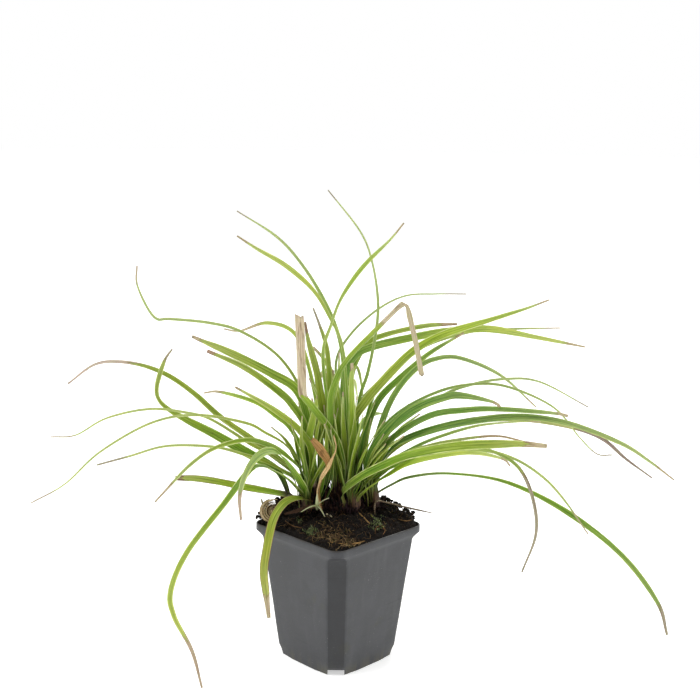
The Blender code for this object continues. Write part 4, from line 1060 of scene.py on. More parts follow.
def pot_levels():
    """Every ring of the pot, from the base up and back down inside."""
    count = POT_FLAT_POINTS
    outer = [body_ring(0.0, 0.6, count), body_ring(0.3, 0.1, count)]
    for step in range(1, POT_LEVELS + 1):
        outer.append(body_ring(TAB_START * step / POT_LEVELS, 0.0, count))
    for step in range(1, TAB_LEVELS):
        outer.append(tab_ring(step / TAB_LEVELS))
    rim = [
        rim_ring(POT_HEIGHT - RIM_HEIGHT, 0.0, count),
        rim_ring(POT_HEIGHT - RIM_HEIGHT / 2, 0.0, count),
        rim_ring(POT_HEIGHT - RIM_EASE, 0.0, count),
        rim_ring(POT_HEIGHT - 0.15, 0.15, count),
        rim_ring(POT_HEIGHT, RIM_EASE, count),
        rim_ring(POT_HEIGHT, WALL - 0.3, count),
        rim_ring(POT_HEIGHT - 0.3, WALL, count),
        rim_ring(POT_HEIGHT - RIM_HEIGHT, WALL, count),
        tab_ring(0.5, WALL),
    ]
    inner = []
    for step in range(POT_LEVELS, 0, -1):
        height = TAB_START * step / POT_LEVELS
        if height > INNER_FLOOR + 2.0:
            inner.append(body_ring(height, WALL, count))
    inner.append(body_ring(INNER_FLOOR, WALL, count))
    return outer + rim + inner


def build_pot(material):
    """The pot with its slightly wavy flats, and the drain notches cut under its corners."""
    shape = Shape(strip=0.0)
    rings = []
    span = CORNER_STEPS + 1 + POT_FLAT_POINTS
    outside = True
    for level in pot_levels():
        ring = []
        outside = outside and level[0].z < POT_HEIGHT
        for k, place in enumerate(level):
            outward = Vector((place.x, place.y, 0.0)).normalized()
            waver = noise.noise(place * WAVER_CLOSE + WAVER_START)
            moved = place + outward * (waver - 0.25) * POT_WAVER * ease(0.0, 12.0, place.z)
            step = k % span
            if outside:
                beside = max(0, min(step - CORNER_STEPS, span - step))
                corner_share = max(0.0, 1.0 - beside / FOOT_SPREAD)
                moved -= outward * (FOOT_EASE * corner_share * (1.0 - ease(2.5, FOOT_TOP, place.z)))
            # Marks the corner strips, which the pot's material darkens with painted shade
            strip = 1.0 if EASE_STEPS - 1 <= step <= EASE_STEPS + STRIP_STEPS + 1 else 0.0
            strip *= 1.0 - ease(TAB_START + 2.0, POT_HEIGHT - RIM_HEIGHT + 2.0, place.z)
            ring.append(shape.add(moved, strip=strip))
        rings.append(ring)
    shape.closed_skin(rings)
    pot = shape.piece("pot_shell", material, ("pot",))
    corner = body_half(0.0) * math.sqrt(2) - CHAMFER_BASE / math.sqrt(2)
    tools = bmesh.new()
    for quarter in range(4):
        size = Matrix.Diagonal((NOTCH_REACH * MM, NOTCH_WIDTH * MM, 2 * NOTCH_HEIGHT * MM, 1.0))
        out = Matrix.Translation((corner * MM, 0.0, 0.0))
        turn = Matrix.Rotation(math.pi / 4 + quarter * math.pi / 2, 4, "Z")
        bmesh.ops.create_cube(tools, size=1.0, matrix=turn @ out @ size)
    cutter_mesh = bpy.data.meshes.new("notches")
    tools.to_mesh(cutter_mesh)
    tools.free()
    cutter = bpy.data.objects.new("notches", cutter_mesh)
    bpy.context.scene.collection.objects.link(cutter)
    modifier = pot.modifiers.new("notches", "BOOLEAN")
    modifier.operation = "DIFFERENCE"
    modifier.object = cutter
    modifier.solver = "EXACT"
    bpy.context.view_layer.update()
    evaluated = pot.evaluated_get(bpy.context.evaluated_depsgraph_get())
    result = bpy.data.meshes.new_from_object(evaluated)
    pot.modifiers.remove(modifier)
    pot.data = result
    bpy.data.objects.remove(cutter)
    sharp = result.attributes.get("sharp_edge") or result.attributes.new("sharp_edge", "BOOLEAN", "EDGE")
    edges = bmesh.new()
    edges.from_mesh(result)
    flags = [len(edge.link_faces) == 2 and edge.calc_face_angle(0.0) > SHARP_EDGE for edge in edges.edges]
    edges.free()
    sharp.data.foreach_set("value", flags)


def soil_height(across, away):
    """Top of the peat: level at the rim, mounded under the crown, lumpy all over."""
    spread = 2 * SOIL_MOUND_SPREAD ** 2
    mound = SOIL_MOUND * math.exp(-((across - CROWN[0]) ** 2 + (away - CROWN[1]) ** 2) / spread)
    back = SOIL_BACK_RISE * (0.5 + 0.5 * math.tanh(away / SOIL_BACK_SPAN))
    lumps = math.sin(across * 0.41 + 1.3) * math.cos(away * 0.37 - 0.4)
    lumps += 0.8 * math.sin(across * 0.73 - away * 0.52 + 2.1)
    lumps += 0.6 * math.cos(across * 0.93 + away * 1.07)
    heaps = 0.0
    for heap_across, heap_away, height, width in SOIL_HEAPS:
        heaps += height * math.exp(-((across - heap_across) ** 2 + (away - heap_away) ** 2) / width)
    return SOIL_EDGE + mound + back + lumps * SOIL_LUMP + heaps


def place_in_view(point):
    """Across and away, as the photograph sees it, of a point of the pot's frame."""
    across = point.x * math.cos(POT_TURN) - point.y * math.sin(POT_TURN)
    away = point.x * math.sin(POT_TURN) + point.y * math.cos(POT_TURN)
    return across, away


SOIL_FLAT_POINTS = 40
SOIL_RINGS = 64
SOIL_ROUGH = 1.5
SOIL_CRUMB = 0.45
SOIL_EDGE_ROUGH = 0.9
SOIL_EDGE_WIDTH = 3.2


def fine_soil_height(across, away):
    """The peat's top with its crumb structure."""
    spot = Vector((across, away, 0.0))
    rough = noise.fractal(spot * 0.16, 1.0, 2.1, 5, noise_basis="PERLIN_ORIGINAL")
    crumb = noise.noise(spot * 0.75 + Vector((5.0, 1.0, 2.0)))
    return soil_height(across, away) + SOIL_ROUGH * (rough + SOIL_CRUMB * max(crumb, -0.2))


def build_soil(material):
    """The peat: sides inside the pot, and a rough top that meets the rim."""
    shape = Shape()
    inset = WALL + SOIL_CLEARANCE
    sides = (
        body_ring(INNER_FLOOR + SOIL_BASE_CLEARANCE, inset, SOIL_FLAT_POINTS),
        body_ring(TAB_START, inset, SOIL_FLAT_POINTS),
        rim_ring(POT_HEIGHT - RIM_HEIGHT, inset, SOIL_FLAT_POINTS),
    )
    rings = [[shape.add(point) for point in level] for level in sides]
    top = rim_ring(POT_HEIGHT, inset, SOIL_FLAT_POINTS)
    for step in range(SOIL_RINGS):
        scale = 1.0 - step / SOIL_RINGS
        ring = []
        for p in top:
            point = Vector((p.x * scale, p.y * scale, 0.0))
            across, away = place_in_view(point)
            height = fine_soil_height(across, away)
            edge = (1.0 - scale) * RIM_SIDE / 2
            rim_height = POT_HEIGHT - SOIL_DROP + SOIL_EDGE_ROUGH * noise.noise(point * 0.3)
            point.z = rim_height + (height - rim_height) * ease(0.0, SOIL_EDGE_WIDTH, edge)
            ring.append(shape.add(point))
        rings.append(ring)
    shape.skin(rings)
    middle = shape.add(Vector((0.0, 0.0, fine_soil_height(0.0, 0.0))))
    last = rings[-1]
    for k in range(len(last)):
        shape.faces.append((last[k], last[(k + 1) % len(last)], middle))
    shape.faces.append(tuple(rings[0][::-1]))
    shape.piece("peat", material, ("soil",))


SOIL_SEARCH = 60.0
SOIL_HALVINGS = 40


def on_soil(px, py, lift=0.0):
    """Where the line of sight through a point of the photograph meets the peat."""
    low, high = -SOIL_SEARCH, SOIL_SEARCH
    for _ in range(SOIL_HALVINGS):
        away = (low + high) / 2
        place = seen(px, py, away)
        across, _ = place_in_view(place)
        if place.z > soil_height(across, away):
            low = away
        else:
            high = away
    place = seen(px, py, low)
    place.z += lift
    return place


# Crumbs, fibres, the fibrous mat and the black clumps: how many, how long and how thick
CRUMB_COUNT = 760
CRUMB_SIZES = (0.35, 1.5)
FIBRE_COUNT = 420
FIBRE_POINTS = 7
FIBRE_LENGTHS = (3.0, 9.0)
FIBRE_THICKNESS = 0.28
MAT_FIBRES = 26
MAT_LENGTHS = (3.0, 8.0)
MAT_THICKNESS = 0.46
MAT_REACH = (6, 3)
CLUMP_CRUMBS = 22
CLUMP_SPREAD = 2.4
LITTER_FIELDS = {"tint": (0.05, 0.03, 0.02), "along": 0.0, "seed": 0.0}
CRUMB_TONES = ((16, 12, 10), (24, 18, 14), (34, 25, 18), (20, 16, 13), (50, 36, 25))
FIBRE_TONES = ((64, 43, 26), (48, 33, 21), (84, 60, 37), (36, 26, 18), (104, 80, 52), (132, 108, 74))
MAT_TONES = ((104, 82, 54), (78, 60, 42), (134, 112, 78), (58, 44, 32), (156, 134, 98), (88, 82, 48))


def inside_rim(place, margin):
    """Whether a place lies inside the rim, at least `margin` from its outer edge."""
    return max(abs(place.x), abs(place.y)) < RIM_SIDE / 2 - margin


def ball_mesh():
    """Points and faces of a twenty-faced ball."""
    shape = bmesh.new()
    bmesh.ops.create_icosphere(shape, subdivisions=1, radius=1.0)
    points = [vert.co.copy() for vert in shape.verts]
    faces = [tuple(vert.index for vert in face.verts) for face in shape.faces]
    shape.free()
    return points, faces


def add_crumb(shape, middle, size, draw, ball, **values):
    """A rough crumb of peat."""
    points, faces = ball
    turn = Matrix.Rotation(draw.uniform(0, math.tau), 3, "Z") @ Matrix.Rotation(draw.uniform(0, 3.0), 3, "X")
    stretch = Vector((draw.uniform(0.6, 1.3), draw.uniform(0.6, 1.2), draw.uniform(0.5, 0.9)))
    first = len(shape.points)
    for point in points:
        rough = 1.0 + 0.3 * draw.uniform(-1.0, 1.0)
        spot = Vector((point.x * stretch.x, point.y * stretch.y, point.z * stretch.z)) * (size * rough)
        shape.add(middle + turn @ spot, **values)
    for face in faces:
        shape.faces.append(tuple(first + corner for corner in face))


def pot_spot(draw, inner=1.0):
    """A random place on the peat, as across and away."""
    half = RIM_SIDE / 2 - 3.0
    x = draw.uniform(-half, half) * inner
    y = draw.uniform(-half, half) * inner
    return place_in_view(Vector((x, y, 0.0)))


def build_litter(material):
    """Loose crumbs and fibres of the peat, and the small dry bits that lie on it."""
    draw = random.Random("litter")
    shape = Shape(**LITTER_FIELDS)
    ball = ball_mesh()
    for _ in range(CRUMB_COUNT):
        across, away = pot_spot(draw)
        size = CRUMB_SIZES[0] + CRUMB_SIZES[1] * draw.random() ** 3
        place = from_view(across, away, fine_soil_height(across, away) + size * 0.15)
        tone = linear(draw.choice(CRUMB_TONES))
        add_crumb(shape, place, size, draw, ball, tint=tone, seed=draw.uniform(0, 50))
    for _ in range(FIBRE_COUNT):
        across, away = pot_spot(draw, 0.97)
        length = draw.uniform(*FIBRE_LENGTHS)
        add_fibre(shape, draw, across, away, length, FIBRE_THICKNESS, draw.choice(FIBRE_TONES))
    for px, py in MAT_SPOTS:
        for _ in range(MAT_FIBRES):
            beside = draw.uniform(-MAT_REACH[0], MAT_REACH[0])
            place = on_soil(px + beside, py + draw.uniform(-MAT_REACH[1], MAT_REACH[1]))
            across, away = place_in_view(place)
            if inside_rim(place, 1.0):
                length = draw.uniform(*MAT_LENGTHS)
                add_fibre(shape, draw, across, away, length, MAT_THICKNESS, draw.choice(MAT_TONES))
    for track, thickness, tone in SOIL_SCRAPS:
        places = [on_soil(px, py, 0.8) for px, py in track]
        add_tube(shape, smooth_curve(places, 1.2), thickness, 6, tint=linear(tone), seed=draw.uniform(0, 50))
    for across, away, size, rise in BLACK_CLUMPS:
        for _ in range(CLUMP_CRUMBS):
            x = across + draw.gauss(0.0, CLUMP_SPREAD)
            y = away + draw.gauss(0.0, CLUMP_SPREAD)
            place = from_view(x, y, 0.0)
            if not inside_rim(place, 2.2):
                continue
            off = math.hypot(x - across, y - away)
            place.z = fine_soil_height(x, y) + rise * draw.random() * max(0.0, 1.0 - off / 6.0)
            add_crumb(shape, place, size * draw.uniform(0.35, 0.9), draw, ball,
                      tint=linear(draw.choice(CRUMB_TONES)), seed=draw.uniform(0, 50))
    shape.piece("peat_litter", material)


def add_fibre(shape, draw, across, away, length, thickness, tone):
    """A bent fibre that lies on the peat inside the pot."""
    heading = draw.uniform(0.0, math.tau)
    bend = draw.uniform(-1.4, 1.4)
    limit = RIM_SIDE / 2 - 2.4
    places = []
    for k in range(FIBRE_POINTS):
        share = k / (FIBRE_POINTS - 1)
        x = across + math.cos(heading + bend * share) * length * (share - 0.5)
        y = away + math.sin(heading + bend * share) * length * (share - 0.5)
        flat = from_view(x, y, 0.0)
        flat.x = min(max(flat.x, -limit), limit)
        flat.y = min(max(flat.y, -limit), limit)
        x, y = place_in_view(flat)
        arch = 0.9 * math.sin(math.pi * share) * draw.uniform(0.2, 1.0)
        places.append(from_view(x, y, fine_soil_height(x, y) + 0.1 + arch))
    add_tube(shape, places, thickness, 3, tint=linear(tone), seed=draw.uniform(0, 50))


# The fibrous mat at the front corner and the dry scraps, by their places in the photograph
MAT_SPOTS = ((326, 534), (334, 539), (342, 542), (350, 542), (336, 532), (346, 535), (328, 526), (334, 543),
             (345, 546), (355, 544), (318, 537))
SOIL_SCRAPS = (
    (((330, 543), (341, 545), (353, 545), (365, 542)), 0.9, (150, 118, 74)),
    (((357, 512), (363, 518), (370, 525)), 1.1, (160, 128, 84)),
    (((326, 515), (332, 518)), 1.9, (176, 168, 140)),
    (((370, 515), (373, 519), (375, 524)), 0.7, (124, 132, 60)),
    (((375, 535), (376, 529), (381, 527), (385, 531), (383, 536)), 0.5, (120, 84, 50)),
    (((398, 520), (405, 522), (412, 521)), 0.8, (120, 92, 60)),
    (((285, 522), (293, 527), (302, 529)), 0.7, (110, 82, 52)),
)
# Black clumps on the far sides: across, away, size of the crumbs, how high they are heaped
BLACK_CLUMPS = (
    (36.0, 24.0, 2.2, 3.0), (42.0, 17.0, 2.0, 2.5), (30.0, 30.0, 2.0, 3.0), (47.0, 11.0, 2.2, 2.5),
    (53.0, 4.0, 2.0, 3.0), (-51.0, 7.0, 2.2, 7.0), (-47.0, 12.0, 2.4, 7.0), (-42.0, 17.0, 2.4, 6.0),
    (-36.0, 22.0, 2.2, 4.0), (-53.0, 0.0, 2.2, 7.0), (-28.0, 29.0, 1.8, 3.0), (20.0, 38.0, 1.8, 3.0),
    (-55.5, 2.0, 2.0, 8.0), (-51.0, -2.0, 2.0, 8.0), (-49.0, 3.0, 2.2, 8.0), (-46.0, 6.0, 2.2, 7.0),
)
# Cushions of moss: middle in the photograph, how far they spread there, how many leaves
MOSS_PATCHES = ((311, 532, 6.5, 4.5, 150), (377, 524, 7.5, 8.0, 190), (300, 522, 4.0, 3.0, 50))
MOSS_FIELDS = {"tint": (0.1, 0.2, 0.05), "along": 0.0}
MOSS_MIDDLE = 0.45
MOSS_DARK = (44, 56, 26)
MOSS_LIGHT = (138, 146, 96)


def build_moss(material):
    """Cushions of moss: small pointed leaves that stand up from the peat."""
    draw = random.Random("moss")
    shape = Shape(**MOSS_FIELDS)
    for px, py, wide, high, count in MOSS_PATCHES:
        for _ in range(count):
            spread = draw.gauss(0.0, 0.45)
            other = draw.gauss(0.0, 0.45)
            place = on_soil(px + wide * spread, py + high * other)
            if not inside_rim(place, 2.5):
                continue
            across, away = place_in_view(place)
            base = from_view(across, away, fine_soil_height(across, away) - 0.2)
            lean = Vector((draw.uniform(-1, 1), draw.uniform(-1, 1), draw.uniform(0.7, 1.7))).normalized()
            length = draw.uniform(1.0, 2.6)
            tone = blend(linear(MOSS_DARK), linear(MOSS_LIGHT), draw.random() ** 1.8)
            side = lean.cross(Vector((0.3, 0.5, 0.1))).normalized() * (length * 0.17)
            bulge = lean.cross(side).normalized() * (length * 0.07)
            middle = base + lean * length * MOSS_MIDDLE
            root = shape.add(base, tint=tone)
            left = shape.add(middle - side, tint=tone, along=MOSS_MIDDLE)
            right = shape.add(middle + side, tint=tone, along=MOSS_MIDDLE)
            crest = shape.add(middle + bulge, tint=tone, along=MOSS_MIDDLE)
            end = shape.add(base + lean * length, tint=tone, along=1.0)
            shape.faces.extend(((root, left, crest), (root, crest, right), (left, end, crest),
                                (crest, end, right), (root, right, left), (left, right, end)))
    shape.piece("moss", material)


# Dead leaves: a point of the photograph is this many millimetres wide at the front of the crown
MM_PER_POINT = 0.74
DEAD_ROLL = 70.0
DEAD_FOLD = 0.6
DEAD_THICKNESS = 0.4
DEAD_LOOKS = {
    "twisted": Look(BROWN, BROWN, ((0, 2), (0.5, 2.6), (0.64, 7), (0.85, 9), (0.95, 7), (1, 4)), 0.0,
                    (182, 142, 88), 0.0, 0.8, 14.0),
    "curled": Look(TAN, TAN, ((0, 3), (0.3, 4.5), (0.7, 4.5), (0.85, 3), (1, 2)), 0.0,
                   (222, 192, 140), 0.2, 0.3, 24.0),
    "brown_base": Look(BROWN, BROWN, ((0, 5), (0.6, 4), (1, 2)), 0.0, (74, 52, 36), 0.0, 0.5, 20.0),
}
CROWN_COLUMNS = (-1.0, 0.0, 1.0)
CROWN_FOLD = 0.7
CROWN_TONES = ((40, 22, 24), (26, 15, 14), (50, 28, 28), (20, 13, 11), (60, 38, 30), (44, 24, 30),
               (86, 60, 42))
# Clusters of old sheaths: across, away, half widths, how high they stand, how many
CROWN_CLUSTERS = ((1.0, 14.0, 33.0, 17.0, 20.0, 300), (-12.0, 4.0, 12.0, 5.0, 27.0, 110),
                  (6.0, -2.0, 9.0, 4.0, 11.0, 70), (-24.0, 0.0, 6.0, 4.0, 10.0, 40))


def add_old_sheath(shape, draw, cluster):
    """One dark strip of an old sheath, somewhere in its cluster."""
    across, away, half_wide, half_deep, top, _ = cluster
    out = math.sqrt(draw.random())
    heading = draw.uniform(0.0, math.tau)
    x = across + math.cos(heading) * out * half_wide
    y = away + math.sin(heading) * out * half_deep
    base = soil_height(x, y) - 1.0
    rise = (4.0 + top * (1.0 - out) ** 0.7) * draw.uniform(0.45, 1.0)
    splay = draw.uniform(0.0, 5.0) * (0.3 + out)
    bend = draw.uniform(-0.8, 0.8)
    places = []
    for t in (0.0, 0.35, 0.7, 1.0):
        lean_x = math.cos(heading + bend * t) * splay * t
        lean_y = math.sin(heading + bend * t) * splay * t
        places.append(from_view(x + lean_x, y + lean_y, base + rise * (t - 0.12 * t * t)))
    line = smooth_curve(places, 2.4)
    wide = draw.uniform(1.4, 4.2)
    widths = [wide * (1.0 - 0.75 * share ** 1.5) for share in shares(line)]
    look = Look(BROWN, BROWN, (), 0.0, draw.choice(CROWN_TONES), 0.0, 0.4, 30.0)
    turned = Matrix.Rotation(draw.uniform(-1.2, 1.2), 3, "Z")
    frames = []
    for (side, _), tangent in zip(blade_frames(line, 10.0), directions(line)):
        frames.append((turned @ side, tangent.cross(turned @ side)))
    add_blade(shape, line, frames, widths, look, "cut", draw, CROWN_FOLD, DEAD_THICKNESS, CROWN_COLUMNS)


def build_dead_leaves(material):
    """The dead leaves of the photograph, and the dark remains of old sheaths between the shoots."""
    draw = random.Random("dead")
    across, away = DEAD_FOOT
    ground = soil_height(across, away)
    foot = from_view(across, away, ground + 3.0)
    shape = Shape(**BLADE_FIELDS)
    for name, (track, tip_away, width) in DEAD_LEAVES.items():
        line = blade_line(foot, away, track, tip_away, 1.5)
        look = DEAD_LOOKS[name]
        widths = [min(between_stops(look.px, share) * MM_PER_POINT, width * 1.5) for share in shares(line)]
        frames = blade_frames(line, DEAD_ROLL)
        add_blade(shape, line, frames, widths, look, "cut", draw, DEAD_FOLD, DEAD_THICKNESS)
    for cluster in CROWN_CLUSTERS:
        for _ in range(cluster[-1]):
            add_old_sheath(shape, draw, cluster)
    shape.piece("dead_leaf_strips", material, ("dead_leaves",))


def build_seedling(material):
    """The small seedling: short leaves that part from one heart."""
    draw = random.Random("seedling")
    heart = seen(*SEEDLING_HEART, SEEDLING_AWAY)
    shape = Shape(**BLADE_FIELDS)
    look = Look((138, 146, 92), (184, 188, 138), (), NEVER_DRY, TAN, 0.3, 0.0, 5.0)
    for px, py in SEEDLING_TIPS:
        tip = seen(px, py, SEEDLING_AWAY - 2.0)
        bow = (heart + tip) / 2 + UP
        line = smooth_curve([heart - UP * 3.0, heart, bow, tip], 0.8)
        widths = [2.0 * math.sin(math.pi * min(0.96, 0.2 + 0.8 * share)) + 0.3 for share in shares(line)]
        add_blade(shape, line, blade_frames(line, 0.0), widths, look, "point", draw, 0.4, 0.5)
    shape.piece("seedling_leaves", material, ("seedling",))


def build_dead_stem(material):
    """The thin dead stem that lies over the right corner."""
    across, away = DEAD_STEM_FOOT
    first = seen(*DEAD_STEM_TRACK[0], away)
    ground = soil_height(across, away)
    foot = from_view(across, away, first.z - 1.0)
    places = [from_view(across, away, ground - 5.0), foot]
    for index, (px, py) in enumerate(DEAD_STEM_TRACK[1:]):
        places.append(seen(px, py, away + 3.0 * (index + 1)))
    shape = Shape(**LITTER_FIELDS)
    add_tube(shape, smooth_curve(places, 1.5), DEAD_STEM_THICKNESS, 8, tint=linear(DEAD_STEM_TONE))
    shape.piece("dead_stem_strand", material, ("dead_stem",))


# Straw coil: its middle in the photograph, the arcs' radii there, how flat they are, and the upright end
STRAW_HEART = (275.0, 511.0)
STRAW_RADII = (3.5, 5.0, 6.4, 7.8, 9.0, 10.2, 11.4, 12.6, 13.6, 14.6)
STRAW_SQUASH = 0.86
STRAW_TONES = ((206, 184, 138), (96, 70, 44), (190, 166, 122), (150, 122, 82))
STRAW_HALF_STEPS = 6
STRAW_SPIKE = ((266, 514), (263.5, 506), (261, 498.5))
STRAW_SPIKE_TONE = (150, 146, 120)


def build_straw_coil(material):
    """Dry strands bent round over the left corner, one inside the other, and one upright end."""
    draw = random.Random("straw")
    shape = Shape(**LITTER_FIELDS)
    for strand, radius in enumerate(STRAW_RADII * 2):
        depth = STRAW_AWAY - 4.0 + draw.uniform(-3.4, 3.4)
        reach = math.radians(draw.uniform(52.0, 96.0))
        tilt = math.radians(draw.uniform(-14.0, 14.0))
        wide = radius * draw.uniform(0.94, 1.06)
        places = []
        for step in range(2 * STRAW_HALF_STEPS + 1):
            angle = reach * (step / STRAW_HALF_STEPS - 1.0)
            px = STRAW_HEART[0] - wide * math.cos(angle + tilt)
            py = STRAW_HEART[1] - wide * STRAW_SQUASH * math.sin(angle + tilt)
            places.append(seen(px, py, depth + 2.5 * math.sin(angle)))
        tone = linear(STRAW_TONES[strand % len(STRAW_TONES)])
        add_tube(shape, smooth_curve(places, 1.0), draw.uniform(0.7, 1.25), 6, tint=tone,
                 seed=draw.uniform(0, 50))
    spike = smooth_curve([seen(px, py, STRAW_AWAY - 4.0) for px, py in STRAW_SPIKE], 0.8)
    add_tube(shape, spike, 1.5, 6, tint=linear(STRAW_SPIKE_TONE))
    shape.piece("straw_strands", material, ("straw_coil",))


class Graph:
    """The nodes of a material or of the surround, put together by short calls."""

    def __init__(self, owner):
        self.owner = owner
        owner.use_nodes = True
        self.tree = owner.node_tree

    def node(self, kind, **settings):
        """A new node with these settings."""
        node = self.tree.nodes.new(kind)
        for name, value in settings.items():
            setattr(node, name, value)
        return node

    def plug(self, value, socket):
        """A socket's link or, where the value is plain, its value."""
        if isinstance(value, bpy.types.NodeSocket):
            self.tree.links.new(value, socket)
        elif isinstance(value, tuple) and len(value) == 3 and socket.type == "RGBA":
            socket.default_value = (*value, 1.0)
        else:
            socket.default_value = value

    def made(self, kind, output, inputs, **settings):
        """One output of a new node that has these inputs."""
        node = self.node(kind, **settings)
        for name, value in inputs.items():
            self.plug(value, node.inputs[name])
        return node.outputs[output]

    def math(self, operation, first, second=0.0):
        return self.made("ShaderNodeMath", 0, {0: first, 1: second}, operation=operation)

    def times(self, first, second):
        return self.math("MULTIPLY", first, second)

    def plus(self, first, second):
        return self.math("ADD", first, second)

    def swing(self, value, reach):
        """A value from 0 to 1 turned into one that swings round zero, `reach` from end to end."""
        return self.times(self.math("SUBTRACT", value, 0.5), reach)

    def mix(self, share, first, second, blend_type="MIX"):
        return self.made("ShaderNodeMix", 2, {"Factor": share, 6: first, 7: second},
                         data_type="RGBA", blend_type=blend_type)

    def shade(self, colour, tone):
        """A colour multiplied by another."""
        return self.mix(1.0, colour, tone, "MULTIPLY")

    def paint(self, colour, share, tone):
        """A screen colour laid over what is there."""
        return self.mix(share, colour, linear(tone))

    def value(self, name, output="Fac"):
        return self.node("ShaderNodeAttribute", attribute_name=name).outputs[output]

    def values(self, *names):
        return [self.value(name) for name in names]

    def place(self):
        return self.node("ShaderNodeTexCoord").outputs["Object"]

    def split(self, vector):
        node = self.node("ShaderNodeSeparateXYZ")
        self.plug(vector, node.inputs[0])
        return node.outputs

    def noise(self, vector, scale, detail=3.0, roughness=0.55):
        return self.made("ShaderNodeTexNoise", "Fac", {"Vector": vector, "Scale": scale, "Detail": detail,
                                                       "Roughness": roughness})

    def grain(self, x, close_x, y, close_y, z, detail=3.0):
        """Noise drawn out one way: `close_x` and `close_y` say how closely it repeats along x and y."""
        inputs = {0: self.times(x, close_x), 1: self.times(y, close_y), 2: z}
        spot = self.made("ShaderNodeCombineXYZ", 0, inputs)
        return self.noise(spot, 1.0, detail)

    def cells(self, vector, scale):
        return self.made("ShaderNodeTexVoronoi", "Distance", {"Vector": vector, "Scale": scale})

    def steps(self, value, low, high, first=0.0, last=1.0):
        """From `first` below `low` to `last` above `high`, softly."""
        inputs = {"Value": value, "From Min": low, "From Max": high, "To Min": first, "To Max": last}
        return self.made("ShaderNodeMapRange", "Result", inputs, interpolation_type="SMOOTHSTEP")

    def bump(self, height, strength, distance):
        return self.made("ShaderNodeBump", "Normal", {"Height": height, "Strength": strength,
                                                      "Distance": distance * MM})

    def finish(self, colour, roughness, normal=None, **others):
        """The material, with these inputs of its shader."""
        shader = self.tree.nodes["Principled BSDF"]
        self.plug(colour, shader.inputs["Base Color"])
        self.plug(roughness, shader.inputs["Roughness"])
        if normal is not None:
            self.plug(normal, shader.inputs["Normal"])
        for name, value in others.items():
            self.plug(value, shader.inputs[name.replace("_", " ")])
        return self.owner


def material_graph(name):
    return Graph(bpy.data.materials.new(name))


# Tones that the materials lay over the pieces' own colours
VEIN_LIGHT = (214, 226, 112)
PALE_EDGE = (228, 234, 160)
RUST = (128, 74, 44)
LEAF_SPECK = (96, 70, 40)
HUSK_LIGHT = (226, 212, 184)
HUSK_SPOT = (104, 72, 48)
DRYING_LINE = (120, 84, 44)
SHEATH_LOW = ((30, 17, 15), (78, 42, 38))
SHEATH_MIDDLE = ((60, 38, 26), (112, 80, 52))
SHEATH_TOP_TONES = ((48, 66, 20), (92, 116, 42))
# Painted shade in the gaps under the proud sheath edges
SHEATH_GAP_PAINTED_SHADE = (30, 20, 16)
SHEATH_LIP = (150, 120, 80)
PLASTIC = ((50, 51, 54), (65, 66, 69))
PLASTIC_STREAK = (84, 85, 86)
PLASTIC_SMUDGE = (40, 41, 43)
PLASTIC_STAIN = (66, 66, 52)
PLASTIC_SPECK = (176, 174, 166)
PLASTIC_DUST = (150, 146, 136)
PLASTIC_RIM = (54, 44, 36)
PLASTIC_FOOT = (80, 78, 62)
# Painted shade for the corner strips, standing for the dark surround that they reflect
PLASTIC_STRIP_PAINTED_SHADE = (24, 24, 25)
PEAT = ((12, 9, 8), (28, 21, 17))
PEAT_CRUMB = (52, 38, 28)
# Painted shade in the pits between the peat's grains
PEAT_PIT_PAINTED_SHADE = (8, 7, 6)
PEAT_BIT = (164, 132, 86)


